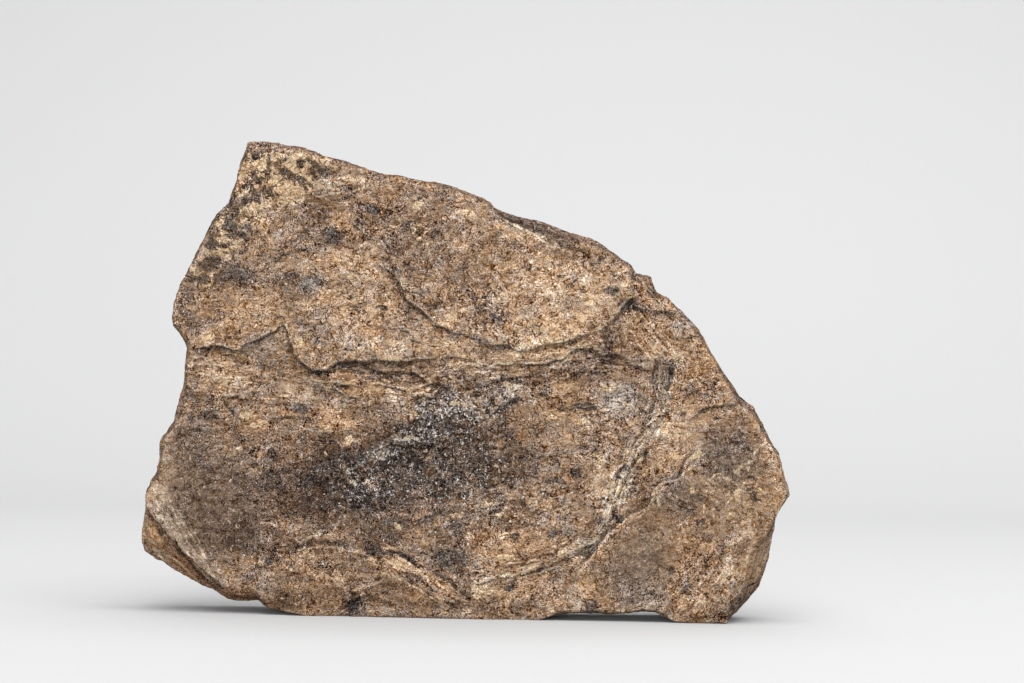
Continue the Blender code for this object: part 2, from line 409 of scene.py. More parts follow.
# %% Zones of the face
ROUGH_ZONES = (  # x, z, half width, half height, turn in degrees, amount
    # rougher
    (-116, 229, 20, 14, 20, 0.3), (-94, 241, 16, 10, -15, 0.3), (-131, 203, 10, 12, -30, 0.3),
    (12, 171, 12, 15, 0, 1.1), (17, 200, 7, 12, 0, 0.4), (5, 126, 18, 12, 10, 1.1),
    (-24, 114, 14, 9, 0, 0.7), (-16, 89, 10, 9, 0, 0.5), (14, 58, 14, 9, 0, 0.6),
    (-51, 70, 15, 10, -30, 1.1), (-69, 111, 9, 9, 0, 0.3), (-58, 10, 7, 10, 20, 1.2),
    (3, 20, 9, 9, 0, 1.2), (-22, 27, 16, 6, -35, 0.7), (-86, 20, 10, 5, 10, 0.3),
    (88, 79, 8, 14, -20, 1.1), (80, 52, 9, 9, 0, 0.8), (60, 38, 16, 5, 30, 0.5),
    (110, 139, 6, 14, 0, 1.2), (82, 165, 10, 5, 45, 0.6), (68, 100, 9, 12, 0, 0.7),
    (141, 32, 5, 18, -10, 0.6), (120, 26, 13, 16, 0, 0.4), (-112, 86, 8, 8, 0, 0.2),
    (-34, 58, 9, 7, 0, 0.4), (-148, 116, 10, 8, 0, 0.2), (56, 188, 14, 3, -35, 0.4),
    (128, 143, 20, 20, 0, 0.3),
    # smoother
    (-148, 55, 32, 30, 0, -0.62), (-162, 86, 12, 18, 0, -0.4), (-36, 16, 20, 7, -25, -0.6),
    (-96, 9, 22, 7, 0, -0.5), (99, 44, 22, 24, 0, -0.75), (142, 70, 28, 26, 0, -0.62),
    (117, 102, 13, 11, 0, -0.45), (158, 33, 9, 18, 0, -0.6), (-60, 137, 20, 3, 0, -0.3),
    (-97, 122, 12, 8, 0, -0.2), (-127, 174, 14, 10, 0, -0.3), (25, 77, 18, 12, 0, -0.2),
    (-28, 92, 9, 8, 0, -0.4), (77, 179, 9, 6, 0, -0.2), (-79, 225, 14, 6, 0, -0.3),
    (-113, 153, 12, 9, 0, -0.3), (-100, 182, 20, 10, 0, -0.1),
)


def zone_sum(places, zones):
    """The sum of soft-edged ellipses at each place on the sketch."""
    total = np.zeros(len(places))
    for x, z, half_width, half_height, turn, amount in zones:
        angle = math.radians(turn)
        right, up = (places - (x, z)).T
        along = (right * math.cos(angle) + up * math.sin(angle)) / half_width
        across = (up * math.cos(angle) - right * math.sin(angle)) / half_height
        total += amount * smooth(1.45 - np.hypot(along, across))
    return total


def ragged(points, places, coarse=4.0, fine=1.5):
    """Places on the sketch, each moved a few millimetres, so that zones get torn edges."""
    moves = [
        coarse * cloud(points, 17, 2, seed) + fine * cloud(points, 4, 2, seed + 5)
        for seed in (31.7, 53.1)
    ]
    return places + np.array(moves).T


print(len(ROUGH_ZONES), "rough and smooth zones")

# %% [markdown]
# ## Carving the front and the back
#
# Every point moves straight out of the slab, or into it. A Displace modifier with a texture could do
# that, but it knows nothing of drawn lines, so the heights are worked out here, point by point. The
# front takes low terraces, the drawn features, and then roughness. The back is another split face,
# with its own terraces and no drawn features.

# %% Carve the two faces
FRONT_STEP, BACK_STEP = 0.55, 1.7  # mm from one bed to the next


def bed_level(face):
    """How many thin beds up a point of the front is: it runs evenly, with the risers at whole numbers."""
    return 4.5 * cloud(face, 44, 5, 2.2, (1, 1, 1.7))


def back_level(face):
    """The same for the back, where the beds broke off in larger sheets."""
    return 3.4 * cloud(face, 80, 6, 14.2, (1.0, 1, 1.5))


def read_skin():
    """Where the skin's points are and which way they face, with a row for each point."""
    facts = []
    for fact in ("co", "normal"):
        flat = np.empty(len(slab.data.vertices) * 3, np.float32)
        slab.data.vertices.foreach_get(fact, flat)
        facts.append(flat.reshape(-1, 3).astype(float))
    return facts


FRONT_FROM, BACK_FROM, FADE_MM = 5, 7, 9  # where a face's carving starts, from the slab's middle

points, normals = read_skin()
depth = points[:, 1] / MM
front = smooth((-depth - FRONT_FROM) / FADE_MM)
back = smooth((depth - BACK_FROM) / FADE_MM)
is_front = np.flatnonzero(front > 0)
is_back = np.flatnonzero(back > 0)
print(len(is_front), "points on the front and", len(is_back), "on the back")

# %% Carve the drawn features into the front
SPLINTER_HEIGHT, SPLINTER_MM = 0.75, 3.4
SPLINTER_THIN = 0.16  # a splinter's width as a share of its length

face = points[is_front]
wavy = wavering(face)
relief = FRONT_STEP * terraces(bed_level(face))
for corners, drop, slope, reach in LEDGES:
    near, left, along = beside(wavy, drawn(corners), 2 * reach)
    relief[near] += ledge_height(left, along, drop, slope, reach)
for corners, depth_mm, half in GROOVES:
    near, left, along = beside(wavy, drawn(corners), 4 * half)
    relief[near] -= depth_mm * np.exp(-((left / half) ** 2)) * fade_at_ends(along, 1 / 6)
near, left, along = beside(wavy, drawn(RIB), 7 * RIB_HALF)
worn = np.clip(0.7 + 0.9 * cloud(face[near], 9, 2, 1.7), 0, 1.3)
relief[near] += rib_height(left, along) * worn
for near, left, run, here in each_fibrous_band(wavy):
    lengthwise = np.stack((left, run * SPLINTER_THIN, left * 0), axis=1) * MM
    relief[near] += SPLINTER_HEIGHT * here * cloud(lengthwise, SPLINTER_MM, 3, 5.5)
for x, z, radius, depth_mm in PITS:
    relief -= depth_mm * np.exp(-((wavy - (x, z)) ** 2).sum(axis=1) / radius**2)
print("drawn relief, mm:", relief.min().round(2), "to", relief.max().round(2))

# %% Roughness of the two faces
FRONT_BIAS, BACK_BIAS = 1.7, 2.2  # mm taken off first, so that raised beds stay inside the solid's box
FRONT_BUMPS = ((0.42, 9, 3, 6.1), (0.55, 2.6, 3, 7.4, (0.8, 1, 1.2)))  # mm high, mm wide, octaves, seed
BACK_BUMPS = ((0.6, 10, 3, 16.1), (0.45, 2.8, 3, 17.4))
LEAF_STEP = 0.4  # mm, for the thinner leaves within a sheet of the back

rough = np.clip(0.9 + zone_sum(ragged(face, on_sketch(face)), ROUGH_ZONES), 0.35, 2.0)
relief += rough * rough_noise(face, FRONT_BUMPS)
points[is_front, 1] -= front[is_front] * (relief - FRONT_BIAS) * MM

face = points[is_back]
relief = BACK_STEP * terraces(back_level(face)) + LEAF_STEP * terraces(5.0 * cloud(face, 30, 4, 15.3))
relief += rough_noise(face, BACK_BUMPS)
points[is_back, 1] += back[is_back] * (relief - BACK_BIAS) * MM
print("back relief, mm:", relief.min().round(2), "to", relief.max().round(2))

# %% [markdown]
# ## The rim
#
# Round the rim the beds show edge-on. Each broke off at a slightly different place, so the rim is a
# pile of thin uneven layers. Stacked plates would look like a book, since real beds thin out and
# join. So points on the rim move outwards or inwards by one noise that is squeezed through the
# slab's thickness and drawn out along the rim. The arris, where the rim meets the front, has small
# chips. The foot that stands on the ground stays as it is.

# %% Carve the rim
BED_MM, BED_RUN_MM = 2.4, 34  # a bed's thickness, and how far its edge keeps one shape
RIM_STEP = 0.27  # mm from one bed's edge to the next
RIM_BUMPS = ((0.6, 15, 3, 24.0), (0.4, 3.2, 3, 27.0))
CHIP_MM, CHIP_WIDE_MM = 1.2, 11  # how much a chip takes off the arris, and how wide it is
ARRIS_DEPTH = 19  # mm in front of the slab's middle
RIM_FROM = 0.35  # how far sideways a point faces, from 0 to 1, before it counts as rim
FOOT_MM, FOOT_FADE_MM = 1.0, 4  # height of the foot that stays, and of the fade above it

outward = normals * (1, 0, 1)
sideways = np.linalg.norm(outward, axis=1)
outward /= np.maximum(sideways, 1e-6)[:, None]
is_rim = np.flatnonzero(sideways > RIM_FROM)
rim = points[is_rim]
side = smooth((sideways[is_rim] - RIM_FROM) / 0.4)
side *= smooth((rim[:, 2] / MM - FOOT_MM) / FOOT_FADE_MM)

beds = cloud(rim, BED_RUN_MM, 2, 21.0, (1, BED_RUN_MM / BED_MM, 1))
moves = RIM_STEP * terraces(4.5 * beds) + rough_noise(rim, RIM_BUMPS)
arris = smooth(1 - np.abs(-rim[:, 1] / MM - ARRIS_DEPTH) / 6)
moves -= CHIP_MM * arris * np.clip(cloud(rim, CHIP_WIDE_MM, 3, 29.0) - 0.05, 0, 1)
points[is_rim] += outward[is_rim] * (side * (moves - 0.1) * MM)[:, None]
print("rim moves, mm:", moves.min().round(2), "to", moves.max().round(2))

# %% [markdown]
# ## Thinning the skin
#
# The carved skin has more points than its flatter parts need. A collapse decimation takes them away
# where the surface is even and leaves them where it turns, which is at the ledges. A remesh with
# larger squares would blur the ledges first.

# %% Put the carved points back and thin the mesh
MOST_TRIANGLES = 196000
ROOM = 0.15 * MM  # kept free inside the solid's box, except at the ground

points = np.clip(points, np.array(cad_low) + (ROOM, ROOM, 0), np.array(cad_high) - (ROOM, ROOM, ROOM))
slab.data.vertices.foreach_set("co", points.astype(np.float32).ravel())
slab.data.update()

triangles = sum(len(polygon.vertices) - 2 for polygon in slab.data.polygons)
thin = slab.modifiers.new("thin_skin", "DECIMATE")
thin.ratio = min(1.0, MOST_TRIANGLES / triangles)
thin.use_collapse_triangulate = True
bpy.ops.object.modifier_apply(modifier="thin_skin")
slab.data.polygons.foreach_set("use_smooth", [True] * len(slab.data.polygons))
for vertex in slab.data.vertices:
    vertex.co.z = max(vertex.co.z, 0.0)  # the thinning pulls a few points just under the ground
print(triangles, "triangles thinned to", len(slab.data.polygons))

# %% [markdown]
# ## What each point of the skin knows
#
# The material needs to know where it is on the stone. Facts that vary slowly are worked out here and
# kept on the points as attributes: how light the bed is, how much iron it holds, how busy the grain
# is, where the grey film, the pale crust and the spots lie. An image painted on the face could hold
# these too, but it would need unwrapping, and attributes work on the rim and the back as well.
# Detail finer than the mesh is left to the material's own textures.

# %% Read the finished skin
points, normals = read_skin()
count = len(points)
places = on_sketch(points)
wavy = wavering(points)
torn = ragged(points, places, 2.2, 1.4)
facing_front = smooth((3 - points[:, 1] / MM) / 8) * smooth((-normals[:, 1] - 0.05) / 0.4)
facing_back = smooth((points[:, 1] / MM - 5) / 8) * smooth((normals[:, 1] - 0.05) / 0.4)
print(count, "points on the finished skin")


def keep(name, values, kind="FLOAT"):
    """Stores values on the skin's points under a name that the material reads."""
    layer = slab.data.attributes.new(name, kind, "POINT")
    field = "value" if kind == "FLOAT" else "vector"
    layer.data.foreach_set(field, np.asarray(values, np.float32).ravel())
    print(f"{name}: {values.min():.2f} to {values.max():.2f}")


# %% [markdown]
# ## Hollows and crests
#
# Hollows get painted shade and crests painted light. Each point is compared with the average place
# of its neighbours: where that lies further out than the point itself, the point is in a hollow.
# Blender's own Pointiness tells the same, but it works in Cycles only, and an attribute goes
# wherever the mesh goes.

# %% Hollows and crests
SOFTEN = 7  # rounds of averaging
HOLLOW_MM = 0.5  # depth that counts as 1

edges = np.empty(len(slab.data.edges) * 2, np.int32)
slab.data.edges.foreach_get("vertices", edges)
edges = edges.reshape(-1, 2)
around = points.copy()
meets = np.bincount(edges.ravel(), minlength=count)[:, None]
for _ in range(SOFTEN):
    total = np.zeros_like(around)
    for axis in range(3):
        total[:, axis] = np.bincount(edges[:, 0], around[edges[:, 1], axis], count)
        total[:, axis] += np.bincount(edges[:, 1], around[edges[:, 0], axis], count)
    around = total / meets
hollow = ((around - points) * normals).sum(axis=1) / (HOLLOW_MM * MM)
keep("hollow", np.clip(hollow, -2, 2))

# %% [markdown]
# ## Light and dark beds
#
# The face is darker where clay or manganese coats it and lighter where fresh grain shows. Brush
# strokes could show that, but a list of soft-edged ellipses is easier to read and to change. Each is
# a place, half sizes, a turn and an amount, where a minus sign darkens. Two zones at the foot of the
# lower left are painted shadow under the stone's lower edge.

# %% Lighter and darker zones
TONE_ZONES = (  # x, z, half width, half height, turn in degrees, how much lighter
    # the lens-shaped sheet at the upper right, and above it
    (42, 178, 34, 24, -15, 0.22), (10, 169, 9, 11, 0, -0.10), (30, 210, 14, 4, -22, 0.12),
    (20, 201, 14, 5, -15, -0.12), (66, 186, 12, 18, 0, 0.08), (45, 163, 26, 9, 8, 0.05),
    (-22, 200, 22, 16, -30, -0.06), (-28, 214, 22, 7, -15, -0.08), (-20, 224, 10, 4, 10, -0.10),
    (-52, 221, 8, 6, 0, -0.12), (-31, 225, 4, 6, 0, 0.14), (-2, 222, 8, 3, 10, 0.14),
    (-10, 165, 6, 4, 0, 0.12), (56, 207, 12, 4, -30, -0.10),
    # the upper left
    (-108, 238, 22, 13, 12, 0.08), (-76, 238, 17, 2.4, 0, 0.34), (-76, 231.5, 18, 3, 5, -0.14),
    (-86, 222, 11, 6, 0, -0.14), (-70, 214, 6, 7, -60, 0.08), (-76, 208, 7, 4, -10, -0.20),
    (-97, 203, 14, 2.5, 20, -0.12), (-108, 207, 8, 3, 20, 0.08), (-92, 195, 18, 5, 12, 0.08),
    (-88, 181, 7, 4, 0, -0.12), (-105, 182, 5, 4, 0, -0.10), (-128, 186, 14, 9, 10, -0.14),
    (-138, 212, 8, 22, -32, -0.16), (-157, 180, 6, 16, -20, -0.14), (-117, 250, 12, 6, 10, -0.06),
    (-120, 166, 14, 7, 5, 0.13),
    (-142, 152, 4, 4, 0, 0.18), (-122, 251, 10, 6, 0, -0.08), (-68, 172, 24, 22, 0, 0.12),
    (-60, 196, 18, 10, 0, 0.10), (-70, 154, 18, 9, 0, 0.06), (-84, 152, 5, 6, 0, -0.06),
    (-30, 150, 34, 5, 0, 0.20), (-30, 158, 20, 5, -20, 0.06),
    # beds under the overhang
    (-137, 132, 14, 9, 0, 0.20), (-97, 122, 11, 8, 0, 0.16), (-88, 119, 4, 6, 0, 0.10),
    (-68, 132, 10, 2.6, 0, 0.20), (-53, 124, 12, 4, -5, 0.26), (-38, 119, 3, 7, 0, 0.18),
    (-45, 130.5, 12, 2.5, -8, -0.06), (-72, 107, 9, 6, 0, 0.16), (-78, 112, 6, 5, 0, 0.12),
    (-92, 113, 6, 4, 0, -0.14), (-127, 109, 9, 6, 0, 0.12), (-115, 104, 8, 3, 10, 0.14),
    (-96, 107, 14, 3, 0, 0.04), (-150, 117, 5, 8, 0, -0.10), (-141, 107, 4, 4, 0, -0.12),
    (-65, 96, 5, 6, 0, 0.12),
    # the dark hollow
    (-70, 76, 44, 22, 0, -0.30), (-10, 92, 42, 22, 0, -0.28), (-38, 101, 18, 7, 0, -0.16),
    (-60, 86, 8, 6, 0, -0.16), (-20, 107, 12, 4, 0, -0.14), (12, 76, 14, 5, 0, -0.12),
    (-48, 90, 8, 4, 0, 0.04), (-18, 83, 2.5, 7, 15, 0.10), (-54, 74, 6, 6, 0, 0.04),
    (-32, 60, 14, 10, 0, 0.03), (-28, 112, 8, 2, 5, 0.16), (-2, 117, 10, 2.5, 0, 0.14),
    (17, 94, 6, 4, 20, 0.14), (22, 118, 9, 3, 30, -0.20), (-105, 73, 8, 7, 0, -0.10),
    (-78, 80, 10, 8, 0, -0.16), (50, 78, 6, 4, 0, -0.10), (-8, 128, 14, 5, 0, -0.06),
    (-62, 59, 40, 10, 0, -0.13), (6, 58, 26, 9, 0, -0.08), (22, 94, 20, 16, 0, -0.09),
    # the lower left
    (-136, 58, 26, 26, 0, -0.18), (-152, 92, 10, 12, 0, -0.12), (-166, 76, 6, 18, -10, 0.05),
    (-105, 45, 14, 7, 0, 0.03), (-92, 47, 6, 3, 0, 0.06), (-80, 24, 20, 13, 0, 0.07),
    (-118, 18, 12, 9, 0, -0.04), (-107, 30, 5, 5, 0, -0.12), (-60, 5, 6, 7, 0, -0.24),
    (-64, 22, 34, 14, 0, -0.09), (-30, 8, 26, 8, 0, -0.06),
    # the first zone here is painted shadow under the stone's lower edge at the foot
    (-106, 3, 9, 4, 0, -0.20), (-176, 47, 4, 5, 0, 0.12), (-174, 33, 6, 4, -30, -0.10),
    (-176, 66, 4, 12, -15, 0.14),
    # the lower middle
    (-12, 33, 14, 7, 0, -0.16), (-50, 38, 6, 4, 0, -0.20), (-28, 46, 8, 4, 20, 0.08),
    (24, 38, 24, 13, 0, 0.13), (9, 16, 9, 7, 20, 0.20), (28, 15, 12, 9, 0, 0.05),
    (24, 18, 4, 3, 0, -0.16), (46, 29, 12, 5, 25, -0.05), (-33, 28, 14, 3, -20, 0.24),
    (50, 15, 10, 7, 0, 0.08), (66, 39, 4, 5, 30, -0.26), (55, 60, 14, 4, 30, 0.10),
    (60, 80, 6, 6, 0, -0.08),
    # right of the middle
    (50, 103, 22, 9, 0, 0.09), (66, 110, 8, 6, 0, 0.08), (78, 123, 10, 7, 0, 0.22),
    (75, 86, 10, 12, -20, 0.14), (78, 72, 12, 11, 0, 0.22), (88, 103, 9, 8, 0, 0.02),
    (96, 68, 6, 5, 50, -0.12), (113, 104, 13, 18, -25, 0.24), (120, 94, 8, 5, 30, 0.12),
    (66, 132, 9, 6, 0, -0.12), (80, 150, 13, 9, 0, -0.18), (72, 144, 8, 4, 0, -0.12),
    (106, 138, 5, 9, 0, -0.22), (103, 124, 4, 10, 15, -0.06), (100, 155, 12, 12, 0, 0.10),
    (122, 148, 14, 12, 0, 0.08), (128, 118, 14, 8, 0, -0.05), (86, 174, 6, 4, 20, -0.24),
    # the lower right
    (93, 36, 20, 22, 0, -0.02), (144, 94, 16, 12, 10, -0.14), (118, 69, 11, 10, 0, -0.12),
    (166, 76, 9, 16, 0, 0.08), (150, 68, 12, 8, 0, 0.08), (124, 26, 18, 20, 0, 0.07),
    (145, 24, 5, 14, -10, 0.10), (150, 10, 11, 7, 20, -0.12), (162, 50, 4, 4, 0, -0.14),
    (66, 18, 5, 6, 0, 0.14), (69, 7, 4, 4, 0, -0.20), (61, 12, 3, 8, 0, 0.10),
    (93, 14, 7, 6, 0, -0.06), (159, 36, 9, 12, 0, 0.15), (153, 42, 2.6, 6, -30, -0.16),
    (168, 54, 2.6, 4, -20, -0.22), (156, 13, 8, 7, 0, -0.06),
    # lighter patches between them
    (36, 147, 18, 6, 15, 0.32), (4, 139, 13, 7, 0, 0.26), (-41, 171, 5, 9, 20, 0.22),
    (-72, 184, 7, 5, 0, 0.12), (-12, 207, 14, 9, 0, 0.16), (-22, 193, 5, 5, 0, 0.10),
    (-22, 178, 11, 5, 0, 0.16),
    (52, 211, 10, 7, -20, 0.26), (81, 191, 9, 7, 0, 0.24), (104, 175, 12, 4, -30, 0.10),
    (-147, 197, 6, 6, 0, 0.28), (-90, 234, 9, 5, 0, 0.20), (-57, 233, 8, 6, 0, 0.18),
    (-137, 155, 12, 5, 0, 0.08), (-165, 116, 5, 10, 0, 0.22), (-125, 125, 14, 6, 0, 0.12),
    (-31, 121, 10, 6, 0, 0.18), (-25, 157, 5, 6, 0, 0.10), (-50, 163, 8, 6, 0, 0.09),
    (-40, 144, 8, 6, 0, 0.12), (-80, 145, 14, 5, 0, 0.08), (63, 127, 16, 5, 0, 0.08),
    (107, 146, 8, 6, 0, 0.20), (85, 153, 10, 8, 0, 0.11), (97, 130, 5, 5, 0, 0.16),
    (55, 130, 12, 6, 0, 0.10), (75, 112, 14, 8, 0, 0.08), (137, 113, 9, 7, 40, 0.12),
    (107, 82, 8, 4, 10, 0.08), (88, 88, 8, 6, 0, 0.06), (15, 96, 12, 9, 0, 0.11),
    (32, 99, 6, 7, 20, 0.14), (-53, 80, 7, 6, 0, 0.13), (-35, 80, 6, 7, 0, 0.10),
    (-95, 85, 10, 8, 0, 0.05), (83, 53, 6, 5, 0, 0.14), (148, 53, 5, 18, -25, 0.11),
    (55, 78, 5, 6, 0, 0.08),
    (150, 15, 5, 7, 0, 0.05), (75, 15, 6, 9, 0, 0.05),
    # darker patches between them
    (-120, 250, 7, 4, 0, -0.17), (-122, 225, 8, 7, 0, -0.20), (-70, 248, 6, 4, 0, -0.11),
    (-75, 204, 5, 4, 0, -0.18), (-155, 158, 10, 7, 0, -0.16), (-130, 182, 14, 5, 0, -0.14),
    (-94, 179, 12, 5, 10, -0.14), (56, 172, 5, 10, 0, -0.16), (-20, 171, 6, 4, 0, -0.10),
    (-124, 107, 6, 5, 0, -0.20), (-140, 98, 7, 4, 0, -0.07), (-53, 112, 14, 5, 0, -0.15),
    (-35, 98, 8, 4, 0, -0.08), (-53, 92, 6, 4, 0, -0.09),
    (-10, 122, 8, 4, 0, -0.08), (20, 122, 10, 4, 0, -0.05), (122, 112, 6, 6, 0, -0.08),
    (-177, 67, 5, 6, 0, -0.22), (-15, 69, 7, 6, 0, -0.22), (-38, 47, 16, 7, 5, -0.26),
    (-10, 45, 12, 6, 0, -0.16), (9, 42, 12, 6, 0, -0.17), (10, 12, 8, 8, 0, -0.18),
    (35, 31, 8, 7, 0, -0.17), (-120, 40, 12, 12, 0, -0.17), (-99, 37, 9, 9, 0, -0.20),
    # the second zone here is painted shadow under the stone's lower edge at the foot
    (-140, 20, 13, 6, -30, -0.26), (-99, 8, 14, 5, 0, -0.30), (-80, 40, 14, 8, 0, -0.08),
    (-75, 22, 14, 7, 0, -0.06),
    (-38, 14, 8, 7, 0, -0.14), (24, 6, 22, 5, 0, -0.13), (0, 15, 7, 10, 0, -0.08),
)
print(len(TONE_ZONES), "lighter and darker zones")

# %% [markdown]
# ## Lighter, darker and rustier bands
#
# Some changes of colour follow a line, such as the lip of a ledge or the edge of a bed. The dark
# bands just under a ledge's lip and along the foot are painted shadow. A row of ellipses would look
# like beads, so they are drawn as the fibrous bands were, and the same helper measures them.

# %% Bands beside the ledges and veins
TONE_BANDS = (  # points, half width, how much lighter, how much more iron
    # painted shadow under the overhang at the upper left and under the lips of ledges
    (((-92, 139), (-86, 134.5), (-79, 134), (-73, 137.5)), 1.6, -0.18, 0),
    (((-73, 138), (-64, 138.3), (-56, 138)), 2.0, -0.14, -0.3),
    (((-57, 138), (-46, 137.6), (-38, 138), (-31, 138.4)), 2.4, -0.20, 0.1),
    (((-34, 134), (-27, 130.5), (-20, 127), (-12, 125.5)), 1.8, -0.22, 0),
    (((12, 131), (28, 131), (44, 132.5), (56, 136), (68, 138)), 2.6, -0.16, 0),
    (((-156, 143.5), (-146, 144), (-136, 144.5), (-129, 143)), 2.0, -0.16, 0),
    (((13, 223), (25, 218), (36, 215.5), (48, 209.5), (60, 205)), 4.0, -0.24, -0.3),
    (((14, 219), (22, 215), (30, 211.5), (40, 208), (50, 202)), 1.5, 0.16, 0),
    (((-172, 70), (-165, 56), (-157, 44.5), (-149, 33), (-141, 24), (-133, 17.5), (-126, 16)),
     5.4, 0.25, -0.3),
    (((-176, 57), (-169, 47), (-160, 36.5), (-150, 25), (-142, 16.5), (-134, 13.5), (-124, 12)),
     1.7, -0.26, 0.2),
    (((-179, 48), (-171, 37), (-158, 25), (-143, 12), (-126, 8), (-112, 9)), 4.5, 0.12, 1.4),
    (((-55, 31), (-46, 30), (-37, 29), (-30, 27), (-22, 23.5), (-14, 19), (-7, 14)), 2.2, 0.2, 0.6),
    (((-58, 35), (-46, 34.5), (-38, 34.5), (-30, 31.5), (-23, 28), (-15, 23), (-8, 17)),
     1.5, -0.14, 0),
    (((-98, 32), (-91, 37.5), (-82, 40.5), (-72, 41), (-60, 38.5)), 1.8, -0.12, 0),
    (((-105, 110.5), (-98, 111.5), (-91, 110.8), (-82, 110.5), (-73, 109)), 1.2, 0.12, 1.4),
    (PLATE_RIM, 1.1, 0.16, 0),
    (RIB, 3.4, 0.12, -0.3),
    (((160, 53), (150, 49), (145, 44), (143, 38), (142, 30), (138, 20)), 2.2, 0.2, 0),
    # painted shadow under a ledge's lip
    (((87, 172.5), (97, 171.5), (112, 169)), 1.6, -0.22, 0),
    (((44, 117.5), (56, 116.5), (70, 117)), 1.6, -0.16, 0),
    (((-48, 207), (-38, 196), (-30, 185), (-24, 178), (-12, 170)), 1.5, -0.10, 0),
    (((-42, 212), (-30, 200), (-22, 190), (-15, 182)), 1.5, 0.08, 0),
    (((1, 205), (-4, 192), (-3, 180), (4, 171)), 1.6, -0.10, 0),
    (((30, 107), (45, 112), (60, 111.5), (72, 104)), 1.4, 0.10, 0.2),
    (((34, 100), (48, 106), (62, 104), (70, 97)), 1.3, -0.08, 0),
    (((38, 22), (55, 30), (70, 42)), 1.3, 0.16, 0),
    (((88, 98), (94, 108), (99, 120), (101, 130)), 1.5, 0.10, -0.3),
    # painted shade along the foot, next to the ground
    (((-100, 2), (-60, 1.5), (0, 1.5), (40, 1)), 1.5, -0.12, 0),
    (((120, 2), (135, 1), (150, 3)), 2.5, -0.20, 0),
)
band_tone, band_iron = np.zeros(count), np.zeros(count)
for corners, half, lighter, rustier in TONE_BANDS:
    near, left, along = beside(wavy, drawn(corners), 1.6 * half)
    here = smooth(1.6 - np.abs(left) / half) * fade_at_ends(along, 0.1)
    band_tone[near] += lighter * here
    band_iron[near] += rustier * here
print(len(TONE_BANDS), "bands")

# %% [markdown]
# ## How busy the grain is
#
# Where a sheet split cleanly the face is calm: fine grain, one colour. Where it tore, the grain is
# coarse and its light and shade are strong. Zones of their own could say which is which, but the
# carving's rough and smooth zones already do. The pale crust is calm too, because it covers the
# grain.

# %% How busy the grain is
CRUST_ZONES = (  # x, z, half width, half height, turn in degrees, how much crust
    (-108, 238, 20, 13, 12, 1.0), (-88, 246, 14, 6, -15, 0.5), (-134, 203, 10, 8, 10, 0.6),
    (-146, 184, 8, 8, 0, 0.4), (-122, 218, 10, 6, 0, 0.5), (-36, 214, 22, 6, -20, 0.15),
    (146, 74, 18, 18, 0, 0.2),
)
USUALLY_BUSY, CALMEST, BUSIEST = 0.95, 0.35, 1.7

roughness = zone_sum(torn, ROUGH_ZONES)
crusted = np.clip(zone_sum(torn, CRUST_ZONES), 0, 1)
busy = USUALLY_BUSY + 0.5 * np.maximum(roughness, 0) + 0.85 * np.minimum(roughness, 0)
busy += 0.55 * cloud(points, 13, 3, 67.0) * (1 + np.minimum(roughness, 0))
busy = np.clip(busy - 0.5 * crusted, CALMEST, BUSIEST)
busy = busy * facing_front + 1 - facing_front
keep("busy", busy)

# %% How light each place is
MOST_DARKER, MOST_LIGHTER = -0.40, 0.26  # where zones overlap, their sum stops here
FACING_UP_DARKER = 0.24  # how much darker stone is that faces the sky, away from the ground
BACK_PATCHES = ((0.2, 62, 4, 45.0), (0.14, 24, 3, 46.0, (0.6, 1, 1.6)))

patches = 0.05 * cloud(points, 30, 4, 41.0)
patches += 0.12 * cloud(points, 8, 3, 43.0, (0.8, 1, 1.3)) * np.minimum(busy, 1)
patches += facing_back * (0.06 + rough_noise(points, BACK_PATCHES))
tone = np.clip(zone_sum(torn, TONE_ZONES), MOST_DARKER, MOST_LIGHTER) * facing_front
tone += np.clip(band_tone, -0.3, 0.25) * facing_front
# darker where the stone faces up, clear of the ground
facing_up = smooth((normals[:, 2] - 0.08) / 0.4) * smooth(points[:, 2] / MM / 60)
keep("tone", tone + patches - FACING_UP_DARKER * facing_up)

# %% [markdown]
# ## Stains, crust, spots and calcite
#
# Iron from the ground water stains the beds ochre. Grey film is clay that dried on the face. The
# pale crust is what is left of the next bed, and spots are single patches of pale crust or of bare
# dark stone. Calcite grew in the pores as white specks. One list of finished colours could hold them
# all, but with zones of its own each kind can be changed without touching the rest. The back gets
# its iron, film and crust from noise.

